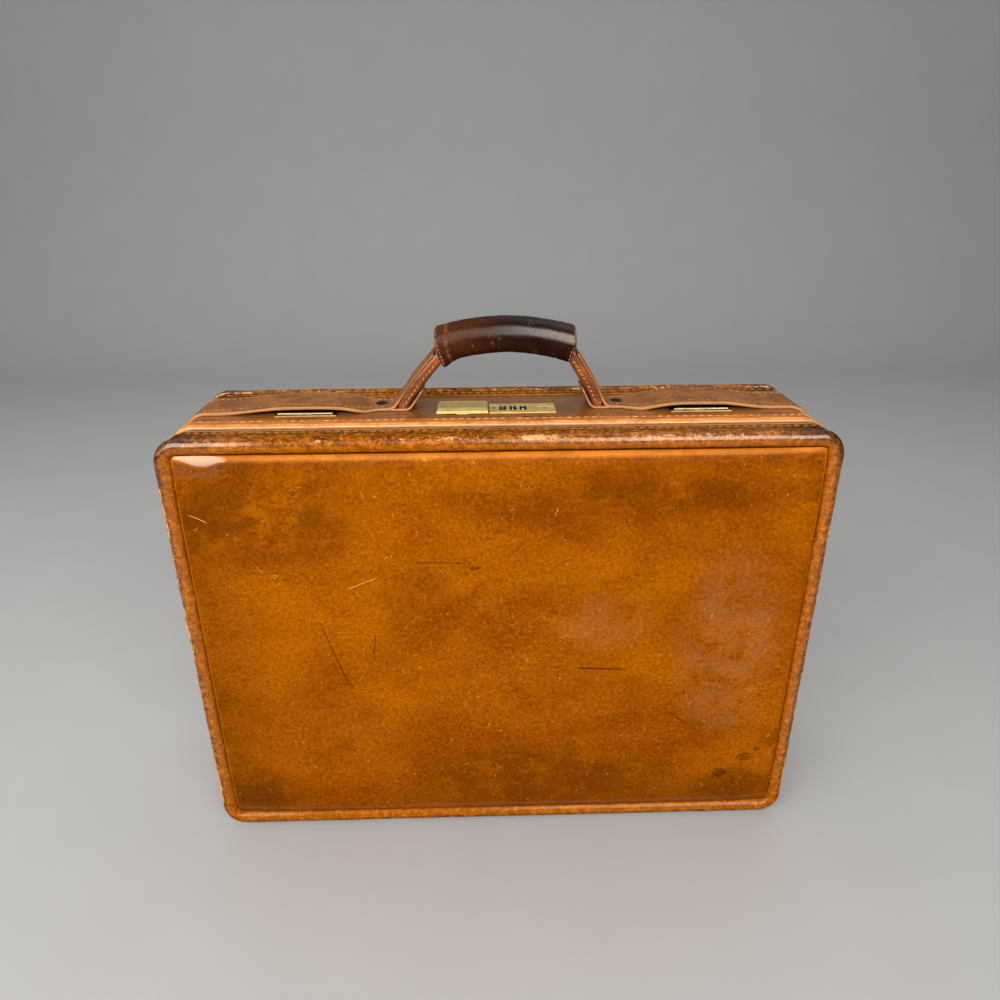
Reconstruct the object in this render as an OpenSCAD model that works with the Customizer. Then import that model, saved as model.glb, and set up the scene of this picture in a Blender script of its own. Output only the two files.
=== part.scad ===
// Attache case of belting leather over two bentwood shells.
// The case stands upright on its feet. The shallow front shell swings forward on a
// piano hinge along the bottom. A sprung button on top draws one long bar, whose
// hooks let go of the two strikes, beside a three-dial combination lock.
// Depths are measured backward from the front rim, insets inward from the rims.

/* [Case] */
// Width over the side rims
case_w = 457; // [430:1:490]
// Height over the top and bottom rims
case_h = 333; // [300:1:370]
// Depth over the front and back rims
case_d = 125; // [118:1:150]
// Depth of the front shell, to the middle of the parting
lid_d = 30; // [28:1:34]
// Gap between the two shells
part_gap = 2; // [1.8:0.1:3]
// Corner radius of the rims, seen from the front
corner_r = 18; // [16:1:26]
// Height of the feet under the rims
foot_h = 3; // [2.5:0.1:5]

/* [Shell walls] */
// Radius of the rolled rim
rim_r = 5.5; // [5:0.1:6]
// How far the rim's stitched lap reaches along the wall
rim_lap = 22; // [17:1:24]
// How far the lap lies below the crest of the roll
rim_step = 1.2; // [0.8:0.1:1.8]
// Thickness of a stitched lap
lap_t = 1.3; // [1:0.1:1.8]
// Thickness of the wall leather
cover_t = 1.5; // [1:0.1:2]
// Thickness of the bentwood frames
frame_t = 8; // [7:0.5:9]
// Thickness of the front and back boards
board_t = 3; // [2:0.5:4]
// Thickness of the lining
lining_t = 0.8; // [0.6:0.1:1.2]
// Radius of the bead along the parting
bead_r = 3.5; // [3:0.1:4]
// How far the bead's stitched lap reaches behind the parting
bead_lap = 14; // [12:1:16]

/* [Padded panels] */
// Depth of the panels' seat behind the rim
panel_seat = 8; // [7:0.5:9]
// Height of a panel's edge above its seat
panel_edge = 3.7; // [2.5:0.1:4.5]
// How far the padding swells above that edge
panel_crown = 5.3; // [3:0.1:6]
// Gap between a panel and the roll round it
panel_gap = 0.2; // [0.2:0.1:1]

/* [Hinge] */
// Length of the piano hinge
hinge_len = 400; // [360:1:410]
// Number of knuckles
knuckles = 25; // [15:2:31]
// Radius of a knuckle
knuckle_r = 2; // [1.8:0.1:2.2]
// Radius of the hinge pin
pin_r = 1; // [0.8:0.05:1.1]
// Running clearance of pins in their holes
pin_fit = 0.05; // [0.03:0.01:0.09]
// Thickness of a hinge leaf
leaf_t = 0.8; // [0.6:0.05:0.85]
// Height of a hinge leaf up the wall's edge
leaf_h = 8.5; // [7.5:0.1:9]

/* [Lid stays] */
// Depth of each stay's base pivot behind the hinge line
stay_back = 60; // [50:1:64]
// Depth of each stay's lid pivot behind the front rim
stay_front = 20; // [18:0.5:22]
// Height of each stay's base pivot over the hinge line
stay_low = 40; // [36:1:46]
// Height of each stay's lid pivot over the hinge line
stay_high = 80; // [70:1:90]
// Width of a stay arm
stay_w = 9; // [7:0.5:10]
// Thickness of a stay arm
stay_t = 1.5; // [1.2:0.1:1.8]

/* [Lock] */
// Depth of the middle of the lock plate
lock_depth = 68.5; // [67:0.5:70]
// Width of the release button
button_w = 37; // [34:1:38]
// Height of the release button above the leather
button_h = 4; // [3:0.1:5]
// Depth of the button and of the plate beside it
plate_d = 21; // [20:0.5:22]
// Width of the combination plate
plate_w = 48; // [46:1:52]
// Thickness of the plates on the leather
plate_t = 1; // [0.8:0.1:1.5]
// Radius of a number dial
dial_r = 7; // [6.8:0.1:7.2]
// Width of a number dial
dial_w = 4.4; // [4:0.1:5]
// Distance from dial to dial
dial_pitch = 7.4; // [6.8:0.1:8]
// Travel of the release button
release_travel = 8; // [7.6:0.1:8.4]
// Distance of each hook from the middle of the case
hook_x = 142; // [136:1:144]
// How far both hooks lie to the right of an even spacing
latch_shift = 3; // [0:0.5:4]
// Width of a latch bezel
bezel_w = 44; // [42:1:48]

/* [Straps] */
// Width of the long straps
strap_w = 38; // [30:1:40]
// Thickness of strap leather
strap_t = 2.6; // [2:0.1:3]
// Depth of the middle of the straps and the handle
strap_depth = 79.5; // [77:0.5:81]
// How far a strap reaches down the side
strap_drop = 74; // [60:1:90]
// Height of a strap's arch over its latch
strap_arch = 3.7; // [3.5:0.1:5]
// Distance of each strap rivet from the middle of the case
rivet_x = 87; // [86:1:92]

/* [Handle] */
// Sideways place of the handle
handle_x = 0.5; // [0:0.5:2]
// How far the grip has settled to the right of its feet
grip_shift = 4; // [0:0.5:5]
// Radius of the grip's bend
grip_bend = 164; // [158:1:190]
// Half of the angle that the grip spans
grip_angle = 17.8; // [17:0.1:18]
// Reach of the grip's upper corners from its middle
grip_reach = 50.6; // [50.6:0.1:54]
// Height of the grip's middle over the wall
grip_height = 52.5; // [50:0.5:58]
// Height of the grip's section
grip_tall = 26; // [24:0.5:28]
// Width of the grip's section, front to back
grip_wide = 28; // [26:0.5:32]
// Distance of each foot from the middle of the handle
foot_x = 73; // [72:0.5:75]
// Thickness of a leg, seen from the front
leg_t = 8; // [7:0.5:8]
// Thickness of the ply sewn to the outside of a leg
ply_t = 2.2; // [1.6:0.1:2.6]
// How far the core runs below the middle of the grip
core_drop = 8; // [7.5:0.1:8]
// Width of a leg, front to back
leg_w = 26; // [22:0.5:27]
// Furthest tilt of the handle to either side
handle_tilt = 30; // [20:1:32]

/* [Hidden] */
$fn = 48;
gap = 0.3;                  // working gap between moving pieces
over = 1;                   // cutters reach this far past what they cut

// Insets of the wall's layers, counted inward from the rims
cover_in = rim_step + lap_t;
frame_in = cover_in + cover_t;
lining_in = frame_in + frame_t;
room_in = lining_in + lining_t;
panel_in = 2 * rim_r + panel_gap;

// Depths behind the front rim
lid_edge = lid_d - part_gap / 2;
base_edge = lid_d + part_gap / 2;
back_seat = case_d - panel_seat;
lid_floor = panel_seat + board_t;
base_floor = back_seat - board_t;

// Heights: the wall is the outer face of the leather
mid_z = foot_h + case_h / 2;
wall_top = foot_h + case_h - cover_in;
hinge_z = foot_h + knuckle_r + 0.2;
wall_side = case_w / 2 - cover_in;
room_side = case_w / 2 - room_in;
room_top = wall_top - (room_in - cover_in);

leather = [0.66, 0.33, 0.10];
dark_leather = [0.36, 0.17, 0.07];
strap_leather = [0.52, 0.31, 0.14];
grip_leather = [0.24, 0.09, 0.05];
wood = [0.72, 0.56, 0.36];
board_brown = [0.45, 0.32, 0.20];
suede = [0.66, 0.52, 0.36];
brass = [0.78, 0.66, 0.36];
steel = [0.62, 0.62, 0.60];
gunmetal = [0.30, 0.32, 0.33];
black = [0.08, 0.08, 0.08];

function at_depth(depth) = depth - case_d / 2;

// Rounded rectangle, centred
module rounded(w, h, r) {
    square([w, h - 2 * r], center = true);
    square([w - 2 * r, h], center = true);
    for (sx = [-1, 1], sz = [-1, 1])
        translate([sx * (w / 2 - r), sz * (h / 2 - r)]) circle(r);
}

// Upright slab of the case's outline, set in by inset, between two depths
module slab(inset, front, back) {
    translate([0, at_depth(back), mid_z]) rotate([90, 0, 0]) linear_extrude(back - front)
        rounded(case_w - 2 * inset, case_h - 2 * inset, corner_r - inset);
}

// Ring of wall between two insets and two depths
module wall_ring(outer, inner, front, back) {
    difference() {
        slab(outer, front, back);
        slab(inner, front - over, back + over);
    }
}

// Carries a profile of outward x and depth y round the case's outline
module round_case() {
    translate([0, at_depth(0), mid_z])
        for (side = [0:3]) {
            upright = side % 2 == 0;
            reach = (upright ? case_w : case_h) / 2;
            run = (upright ? case_h : case_w) - 2 * corner_r;
            rotate([0, -90 * side, 0]) {
                translate([reach, 0, -run / 2]) linear_extrude(run) children();
                translate([reach - corner_r, 0, run / 2]) rotate([-90, 0, 0]) rotate([0, 0, -90])
                    rotate_extrude(angle = 90) translate([corner_r, 0]) children();
            }
        }
}

// Block given by its low and high corners: x, depth, and height over the top wall
module top_block(low, high) {
    translate([low[0], at_depth(low[1]), wall_top + low[2]])
        cube([high[0] - low[0], high[1] - low[1], high[2] - low[2]]);
}

// Upright cylinder on the top wall, between two heights over it
module top_rod(x, depth, low, high, r) {
    translate([x, at_depth(depth), wall_top + low]) cylinder(h = high - low, r = r);
}

// Room that the knuckles need in the shells' edges
module knuckle_room() {
    translate([-hinge_len / 2 - 0.5, at_depth(lid_d), hinge_z]) rotate([0, 90, 0])
        cylinder(h = hinge_len + 1, r = knuckle_r + gap);
}

module rim() {
    round_case() {
        intersection() {
            translate([-rim_r, rim_r]) circle(rim_r);
            translate([-2 * rim_r, 0]) square([2 * rim_r, panel_seat]);
        }
        translate([-cover_in, rim_r]) square([lap_t, rim_lap - rim_r]);
    }
}

module front_rim() {
    color(dark_leather) rim();
}

module back_rim() {
    color(dark_leather) mirror([0, 1, 0]) rim();
}

// Padded panel: rings of points, each set further in and higher on the crown
panel_w = case_w / 2 - panel_in;
panel_h = case_h / 2 - panel_in;
panel_r = corner_r - panel_in;
crown_insets = [0, 0.8, 2, 4, 7.5, 14, 26, 50, 95, 140];
crown_radii = 3.2;          // inset at which the shoulder has mostly risen
droop_reach = 26;           // length over which the padding sinks towards a corner
droop_share = 0.85;
side_shares = [0.03, 0.08, 0.16, 0.3, 0.5, 0.7, 0.84, 0.92, 0.97];
arc_steps = 4;
least_r = 1.5;              // corner radius of the crown's inner rings

function corner_point(k, turn, inset) =
    let (sx = (k == 0 || k == 3) ? 1 : -1, sz = (k < 2) ? 1 : -1,
         r = max(panel_r - inset, least_r), a = 90 * k + turn)
    [sx * (panel_w - inset - r) + r * cos(a), sz * (panel_h - inset - r) + r * sin(a)];

function outline(inset) = [for (k = [0:3])
    let (first = corner_point(k, 90, inset), next = corner_point((k + 1) % 4, 0, inset))
    each concat([for (i = [0:arc_steps]) corner_point(k, 90 * i / arc_steps, inset)],
        [for (t = side_shares) first + t * (next - first)])];

function swell(p, inset) =
    let (to_corner = (panel_w - abs(p[0])) + (panel_h - abs(p[1])))
    panel_edge + panel_crown * sqrt(1 - exp(-inset / crown_radii))
        * (1 - droop_share * exp(-to_corner / droop_reach));

module padded_panel() {
    count = len(outline(0));
    rings = len(crown_insets);
    seat = [for (p = outline(0)) [p[0], at_depth(panel_seat), p[1] + mid_z]];
    crown = [for (s = crown_insets) for (p = outline(s))
        [p[0], at_depth(panel_seat) - swell(p, s), p[1] + mid_z]];
    peak = [0, at_depth(panel_seat) - swell([0, 0], panel_h), mid_z];
    middle = [0, at_depth(panel_seat), mid_z];
    last = count * rings;
    polyhedron(points = concat(seat, crown, [peak, middle]), faces = concat(
        [for (i = [0:count - 1]) [i, (i + 1) % count, last + count + 1]],
        [for (k = [0:rings - 1], i = [0:count - 1])
            let (j = (i + 1) % count) [k * count + i, (k + 1) * count + i, (k + 1) * count + j]],
        [for (k = [0:rings - 1], i = [0:count - 1])
            let (j = (i + 1) % count) [k * count + i, (k + 1) * count + j, k * count + j]],
        [for (i = [0:count - 1]) let (j = (i + 1) % count) [last + i, last + count, last + j]]));
}

module front_panel() {
    color(leather) padded_panel();
}

module back_panel() {
    color(leather) mirror([0, 1, 0]) padded_panel();
}

// The base's walls
module base_frame() {
    color(wood) difference() {
        wall_ring(frame_in, lining_in, base_edge + cover_t, back_seat);
        knuckle_room();
        lock_cuts();
    }
}

module base_board() {
    color(board_brown) slab(lining_in, base_floor, back_seat);
}

module base_cover() {
    color(leather) difference() {
        wall_ring(cover_in, frame_in, base_edge + 2 * bead_r, back_seat);
        lock_cuts();
    }
}

// Leather turned over the base's edge, with its bead outside and a stitched lap behind
module base_binding() {
    color(leather) difference() {
        round_case() {
            translate([-lining_in, base_edge]) square([frame_t, cover_t]);
            intersection() {
                translate([-frame_in, base_edge + bead_r]) circle(bead_r);
                translate([-frame_in, base_edge]) square([bead_r, 2 * bead_r]);
            }
            translate([-cover_in, base_edge + bead_r]) square([lap_t, bead_lap - bead_r]);
        }
        knuckle_room();
    }
}

module base_lining() {
    color(suede) difference() {
        union() {
            wall_ring(lining_in, room_in, base_edge + cover_t, base_floor);
            slab(room_in, base_floor - lining_t, base_floor);
        }
        lock_cuts();
    }
}

// Lip inside the top and the upper sides that closes the parting to dust
valance_t = 1;
valance_reach = 4;
valance_low = 190;          // height at which the lip's side runs end
module valance_strip() {
    color(dark_leather) intersection() {
        wall_ring(room_in, room_in + valance_t, lid_edge - valance_reach, base_edge + 2);
        translate([-case_w / 2, -case_d, valance_low]) cube([case_w, 2 * case_d, case_h]);
    }
}

// Piano hinge
knuckle_run = hinge_len / knuckles;
module leaf(side) {
    first = side > 0 ? 0 : 1;
    low = side > 0 ? lid_d + part_gap / 2 - leaf_t : lid_edge;
    difference() {
        union() {
            translate([-hinge_len / 2, at_depth(low), hinge_z + knuckle_r + gap])
                cube([hinge_len, leaf_t, leaf_h - knuckle_r - gap]);
            for (k = [first:2:knuckles - 1])
                translate([-hinge_len / 2 + k * knuckle_run + gap / 2, at_depth(lid_d), hinge_z]) {
                    rotate([0, 90, 0]) cylinder(h = knuckle_run - gap, r = knuckle_r);
                    translate([0, low - lid_d, 0])
                        cube([knuckle_run - gap, leaf_t, knuckle_r + gap]);
                }
        }
        translate([-hinge_len / 2 - over, at_depth(lid_d), hinge_z]) rotate([0, 90, 0])
            cylinder(h = hinge_len + 2 * over, r = pin_r + pin_fit);
        for (x = screw_xs) translate([x, at_depth(low) - over, screw_z]) rotate([-90, 0, 0])
            cylinder(h = leaf_t + 2 * over, r = screw_r + gap / 2);
    }
}

screws = 9;
screw_r = 1.1;
screw_end = 20;
screw_xs = [for (k = [0:screws - 1]) (k - (screws - 1) / 2) * (hinge_len - 2 * screw_end) / (screws - 1)];
screw_z = hinge_z + (knuckle_r + leaf_h) / 2 + 0.5;

module hinge_leaf_base() {
    color(brass) leaf(1);
}

module hinge_leaf_lid() {
    color(brass) leaf(-1);
}

module hinge_pin() {
    color(steel) translate([-hinge_len / 2, at_depth(lid_d), hinge_z]) rotate([0, 90, 0])
        cylinder(h = hinge_len, r = pin_r);
}

// Countersunk screws, their heads level with the leaves
module hinge_screws(side) {
    face = side > 0 ? lid_d + part_gap / 2 - leaf_t : lid_edge + leaf_t;
    for (x = screw_xs) translate([x, at_depth(face), screw_z]) rotate([-90 * side, 0, 0])
        cylinder(h = leaf_t, r = screw_r);
}

module hinge_screws_base() {
    color(steel) hinge_screws(1);
}

module hinge_screws_lid() {
    color(steel) hinge_screws(-1);
}

// Domed stud: a disc with a quarter-round edge, standing on the ground
module stud(x, depth, r, tall) {
    round_r = foot_h * 0.7;
    translate([x, at_depth(depth), 0]) rotate_extrude() {
        square([r - round_r, tall]);
        translate([0, round_r]) square([r, tall - round_r]);
        intersection() {
            translate([r - round_r, round_r]) circle(round_r);
            square([r, tall]);
        }
    }
}

foot_side = 52;             // from each stud's middle to the case's side
base_foot_r = 6;
lid_foot_r = 4.5;
feet_x = case_w / 2 - foot_side;
module base_feet() {
    color(brass) for (s = [-1, 1])
        stud(s * feet_x, case_d - rim_lap - 1.5 * base_foot_r, base_foot_r, foot_h + cover_in);
}

module lid_feet() {
    color(brass) for (s = [-1, 1])
        stud(s * feet_x, rim_lap - 1.5 * lid_foot_r, lid_foot_r, foot_h + rim_step);
}

// The lid's walls
module lid_frame() {
    color(wood) difference() {
        wall_ring(frame_in, lining_in, panel_seat, lid_edge - cover_t);
        knuckle_room();
    }
}

module lid_board() {
    color(board_brown) slab(lining_in, panel_seat, lid_floor);
}

module lid_cover() {
    color(leather) difference() {
        round_case() {
            translate([-frame_in, panel_seat]) square([cover_t, lid_edge - panel_seat]);
            translate([-lining_in, lid_edge - cover_t]) square([frame_t + over / 2, cover_t]);
        }
        knuckle_room();
    }
}

module lid_lining() {
    color(suede) {
        wall_ring(lining_in, room_in, lid_floor, lid_edge - cover_t);
        slab(room_in, lid_floor, lid_floor + lining_t);
    }
}

// Full-width pocket for papers, open at the top, on the lid's lining
pocket_side = 13.7;         // from the pocket's edge to the lining at each side
pocket_rise = 14;           // from the lining's floor to the pocket
pocket_w = 2 * (room_side - pocket_side);
pocket_h = 190;
pocket_gap = 3.4;
pocket_t = 1.4;
pocket_low = room_in + foot_h + pocket_rise;
pocket_front = lid_floor + lining_t;
module pocket(x, low, w, h, front, deep, wall) {
    translate([x - w / 2, at_depth(front), low]) difference() {
        cube([w, deep, h]);
        translate([wall, -over, wall]) cube([w - 2 * wall, deep - wall + over, h]);
    }
}

module document_pocket() {
    color(suede) pocket(0, pocket_low, pocket_w, pocket_h, pocket_front,
        pocket_gap + pocket_t, pocket_t);
}

// Two small pockets and two pen loops on the face of the large one
card_front = pocket_front + pocket_gap + pocket_t;
card_side = 16;
card_rise = 20;
card_w = 116;
card_h = 88;
card_deep = 2.6;
card_t = 1;
card_x = pocket_w / 2 - card_side - card_w / 2;
loop_x = 12;
loop_rise = 50;
loop_w = 14;
loop_h = 26;
loop_deep = 6;
pen_r = 2.4;
module card_pockets() {
    color(dark_leather) {
        for (s = [-1, 1])
            pocket(s * card_x, pocket_low + card_rise, card_w, card_h, card_front, card_deep, card_t);
        for (s = [-1, 1]) translate([s * loop_x, at_depth(card_front), pocket_low + loop_rise])
            difference() {
                translate([-loop_w / 2, 0, 0]) cube([loop_w, loop_deep, loop_h]);
                translate([0, loop_deep / 4, -over]) linear_extrude(loop_h + 2 * over) {
                    square([loop_w - 4, loop_deep / 2], center = true);
                    translate([0, loop_deep / 4]) circle(pen_r);
                }
            }
    }
}

// Straps, drawn in the front view: x outward from the middle, z over the top wall
strap_front = strap_depth - strap_w / 2;
strap_bend = corner_r - cover_in;
arch_run = 44;              // half of the arch's length
arch_steps = 20;
side_rivets = [8, 22];      // heights of the side rivets over the strap's lower end
function hook_at(side) = side * hook_x + latch_shift;

// Arch of a strap, flat over the latch and easing out to both ends
module strap_arch_profile(middle) {
    shares = [for (i = [0:arch_steps]) 2 * i / arch_steps - 1];
    curve = [for (t = shares) [middle + arch_run * t, strap_arch * pow(1 - pow(t, 4), 2)]];
    polygon(concat(curve, [for (i = [arch_steps:-1:0]) curve[i] + [0, strap_t]]));
}

module strap_profile(inner_end, middle) {
    turn = wall_side - strap_bend;
    translate([inner_end, 0]) square([middle - arch_run - inner_end, strap_t]);
    strap_arch_profile(middle);
    translate([middle + arch_run, 0]) square([turn - middle - arch_run, strap_t]);
    intersection() {
        translate([turn, -strap_bend]) difference() {
            circle(strap_bend + strap_t);
            circle(strap_bend);
        }
        translate([turn, -strap_bend]) square(strap_bend + strap_t);
    }
    translate([wall_side, -strap_drop]) square([strap_t, strap_drop - strap_bend]);
    translate([wall_side, -strap_drop]) intersection() {
        square([strap_t, strap_t]);
        translate([0, strap_t]) circle(strap_t);
    }
}

module strap(side) {
    inner_end = foot_x + leg_t / 2 + ply_t + gap + side * handle_x;
    mirror([side < 0 ? 1 : 0, 0, 0]) difference() {
        translate([0, at_depth(strap_front + strap_w), wall_top]) rotate([90, 0, 0])
            linear_extrude(strap_w) strap_profile(inner_end, side * hook_at(side));
        translate([rivet_x, at_depth(strap_depth), wall_top - over])
            cylinder(h = strap_t + 2 * over, r = rivet_r);
        for (rise = side_rivets) translate([wall_side - over, at_depth(strap_depth),
            wall_top - strap_drop + rise]) rotate([0, 90, 0])
                cylinder(h = strap_t + 2 * over, r = rivet_r);
    }
}

module strap_left() {
    color(strap_leather) strap(-1);
}

module strap_right() {
    color(strap_leather) strap(1);
}

// Rivet with a domed head; its shank fills the hole in the leather
rivet_r = 1.6;
head_r = 4.4;
head_h = 1.3;
module rivet(shank, head = head_r, tall = head_h) {
    ball = (head * head + tall * tall) / (2 * tall);
    translate([0, 0, -shank]) cylinder(h = shank, r = rivet_r);
    intersection() {
        translate([0, 0, tall - ball]) sphere(ball);
        cylinder(h = tall, r = head);
    }
}

module strap_rivets() {
    color(gunmetal) for (s = [-1, 1]) {
        translate([s * rivet_x, at_depth(strap_depth), wall_top + strap_t]) rivet(strap_t);
        for (rise = side_rivets)
            translate([s * (wall_side + strap_t), at_depth(strap_depth),
                wall_top - strap_drop + rise]) rotate([0, s * 90, 0]) rivet(strap_t, 3.4, 1);
    }
}

// Handle: its legs stand in leather cradles and tip about one line through both feet
tilt_h = 5;                 // height of that line over the top wall
foot_r = 4;
cradle_h = strap_t;
curl_r = 6.5;               // outer radius of the cradle's turned-up inner edge
module foot_cradle(side) {
    low = foot_x - leg_t / 2 - 0.5;
    mirror([side < 0 ? 1 : 0, 0, 0])
        translate([side * handle_x, 0, 0]) difference() {
            union() {
                top_block([low, strap_depth - leg_w / 2, 0],
                    [foot_x + leg_t / 2 + ply_t, strap_depth + leg_w / 2, cradle_h]);
                translate([low, at_depth(strap_depth + leg_w / 2), wall_top]) rotate([90, 0, 0])
                    linear_extrude(leg_w) intersection() {
                        translate([0, curl_r]) difference() {
                            circle(curl_r);
                            circle(curl_r - cradle_h);
                        }
                        translate([-curl_r, 0]) square(curl_r);
                    }
            }
            translate([low - over, at_depth(strap_depth), wall_top + tilt_h]) rotate([0, 90, 0])
                cylinder(h = leg_t + ply_t + 2 * over + 1, r = foot_r + gap);
        }
}

module foot_cradle_left() {
    color(strap_leather) foot_cradle(-1);
}

module foot_cradle_right() {
    color(strap_leather) foot_cradle(1);
}

// Where the grip's radial end meets the leg, and the leg's run down to its foot
core_bend = grip_bend - core_drop;
core_t = 5;
core_w = leg_w - 6;
bend_mid = grip_height - grip_bend;
radial = [sin(grip_angle), cos(grip_angle)];
leg_foot = [foot_x, tilt_h];
slant = 1.25;               // a leg meets the grip's end at a slant, which widens its face there
knee_h = 5.2;               // height over the tilt line at which a leg starts to lean
joint_in = 0.3;             // the leg's tongue is this much smaller than the core all round
function leg_top(side) = core_bend * radial + [side * grip_shift, bend_mid];

// Front view of a leg's layer, between two distances off its middle line
module leg_layer(side, from, to) {
    polygon([leg_top(side) + from * slant * radial, leg_top(side) + to * slant * radial,
        leg_foot + [to, knee_h + to / 4], leg_foot + [to, 0], leg_foot + [from, 0],
        leg_foot + [from, knee_h + from / 4]]);
}

// Front view of the tongue that joins a leg to the core inside the grip
module tongue(side) {
    half = core_t / 2 - joint_in;
    along = [radial[1], -radial[0]];
    polygon([for (c = [[-1, -1], [1, -1], [1, 2], [-1, 2]])
        leg_top(side) + c[0] * half * radial + c[1] * along]);
}

// Side view of what a leg may fill, so that it clears the wall at its furthest tilt
module tilt_clearance(low_w) {
    rise = (leg_w / 2 - low_w) * sin(handle_tilt) / cos(handle_tilt) + 1;
    polygon([[-low_w, 0], [-leg_w / 2, rise], [-leg_w / 2, 90], [leg_w / 2, 90],
        [leg_w / 2, rise], [low_w, 0]]);
}

module handle_core() {
    color(leather) translate([handle_x, at_depth(strap_depth), wall_top]) {
        grip_arc() translate([core_bend - core_t / 2, -core_w / 2]) square([core_t, core_w]);
        for (s = [-1, 1]) {
            trimmed_leg() mirror([s < 0 ? 1 : 0, 0]) leg_layer(s, -leg_t / 2, leg_t / 2);
            across(core_w - 2 * joint_in) mirror([s < 0 ? 1 : 0, 0]) tongue(s);
            translate([s * foot_x - leg_t / 2, 0, tilt_h]) rotate([0, 90, 0])
                cylinder(h = leg_t, r = foot_r);
        }
    }
}

// Extrudes a front view over a width, front to back
module across(width) {
    rotate([90, 0, 0]) translate([0, 0, -width / 2]) linear_extrude(width) children();
}

// A leg's front view as a solid, cut so that it can tilt over the wall
module trimmed_leg() {
    intersection() {
        across(leg_w) children();
        translate([-foot_x - 20, 0, tilt_h]) rotate([90, 0, 90]) linear_extrude(2 * foot_x + 40)
            tilt_clearance(3.2);
    }
}

// Outer ply: the long strap's end, turned up along the outside of the leg
module handle_ply(side) {
    color(strap_leather) translate([handle_x, at_depth(strap_depth), wall_top])
        trimmed_leg() mirror([side < 0 ? 1 : 0, 0])
            leg_layer(side, leg_t / 2, leg_t / 2 + ply_t);
}

module handle_ply_left() {
    handle_ply(-1);
}

module handle_ply_right() {
    handle_ply(1);
}

// Grip: a bent sleeve of rounded section with a slot for the core
module grip_section() {
    r = 9;
    translate([grip_bend, 0]) difference() {
        union() {
            square([grip_tall, grip_wide - 2 * r], center = true);
            square([grip_tall - 2 * r, grip_wide], center = true);
            for (sx = [-1, 1], sy = [-1, 1])
                translate([sx * (grip_tall / 2 - r), sy * (grip_wide / 2 - r)]) circle(r);
        }
        translate([core_bend - grip_bend, 0])
            square([core_t, core_w], center = true);
    }
}

// Turns a section about the grip's bend; the profile's x is its radius, its y its width
module grip_arc() {
    translate([grip_shift, 0, bend_mid]) rotate([90, 0, 0]) rotate([0, 0, 90 - grip_angle])
        rotate_extrude(angle = 2 * grip_angle) children();
}

module handle_grip() {
    color(grip_leather) translate([handle_x, at_depth(strap_depth), wall_top]) intersection() {
        grip_arc() grip_section();
        translate([grip_shift - grip_reach, -grip_wide / 2 - over, 0])
            cube([2 * grip_reach, grip_wide + 2 * over, grip_height + grip_tall]);
    }
}

// Lock: heights are over the top wall, so the mechanism lies at negative heights
lock_front = lock_depth - plate_d / 2;
plate_x = -7.5;             // left end of the combination plate
button_x = plate_x - 1 - button_w / 2;
dial_first = plate_x + 9.8;
dial_h = -dial_r + plate_t + 1;
wall_in = -(lining_in - cover_in);
room_h = wall_in - lining_t;
bar_t = 2;
bar_top = room_h - 1;
bar_low = bar_top - bar_t;
bar_front = 47;
bar_w = 10;
stem_w = 8;
stem_d = 4;
stem_depth = bar_front + bar_w + gap + stem_d / 2;
post_w = 4;
post_depth = 38.5;
slide_w = 39;
bezel_front = lock_front - 2;
tongue_top = bar_low - 1;
tongue_t = 2;
travel_room = release_travel + 0.6;

// Slot for a stem that slides to the left by the release travel
module stem_slot(x, top) {
    top_block([x - stem_w / 2 - travel_room, stem_depth - stem_d / 2 - gap, room_h - over],
        [x + stem_w / 2 + gap, stem_depth + stem_d / 2 + gap, top]);
}

module lock_cuts() {
    for (x = [button_x, hook_at(-1), hook_at(1)]) stem_slot(x, over);
    top_block([case_left - gap, lock_depth - case_half - gap, room_h - over],
        [case_right + gap, lock_depth + case_half + gap, over]);
    for (s = [-1, 1]) top_rod(s * lock_rivet_x, lock_rivet_depth, room_h - over, over, rivet_r);
}

// Side view of the button: upright skirt, then a bevel up to the flat top
bevel = 1.8;
module button_side(width) {
    polygon([[-width / 2, gap], [width / 2, gap], [width / 2, button_h - bevel],
        [width / 2 - bevel, button_h], [bevel - width / 2, button_h],
        [-width / 2, button_h - bevel]]);
}

// Button with bevelled sides and a sunk face, on a stem that is riveted under the bar
module release_button() {
    inset = bevel + 1;
    color(brass) {
        difference() {
            intersection() {
                translate([button_x, at_depth(lock_depth) + plate_d / 2, wall_top])
                    rotate([90, 0, 0]) linear_extrude(plate_d) button_side(button_w);
                translate([button_x - button_w / 2, at_depth(lock_depth), wall_top])
                    rotate([90, 0, 90]) linear_extrude(button_w) button_side(plate_d);
            }
            top_block([button_x - button_w / 2 + inset, lock_front + inset, button_h - 0.5],
                [button_x + button_w / 2 - inset, lock_front + plate_d - inset, button_h + over]);
        }
        stem(button_x, gap + 1);
    }
}

// Stem through the wall with its foot turned forward under the bar
module stem(x, top) {
    top_block([x - stem_w / 2, stem_depth - stem_d / 2, bar_low - bar_t],
        [x + stem_w / 2, stem_depth + stem_d / 2, top]);
    top_block([x - stem_w / 2, bar_front, bar_low - bar_t],
        [x + stem_w / 2, stem_depth + stem_d / 2, bar_low]);
}

// Bar behind the wall, with an arm and a post at each strike
bar_end = 18;
module release_bar() {
    color(steel) {
        top_block([hook_at(-1) - bar_end, bar_front, bar_low],
            [hook_at(1) + bar_end, bar_front + bar_w, bar_top]);
        for (x = [hook_at(-1), hook_at(1)]) {
            top_block([x - 5, post_depth - post_w / 2, bar_low], [x + 5, bar_front, bar_top]);
            top_block([x - post_w / 2, post_depth - post_w / 2, tongue_top - tongue_t - 1],
                [x + post_w / 2, post_depth + post_w / 2, bar_low]);
        }
        spring_lug(spring_x, bar_low);
    }
}

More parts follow.
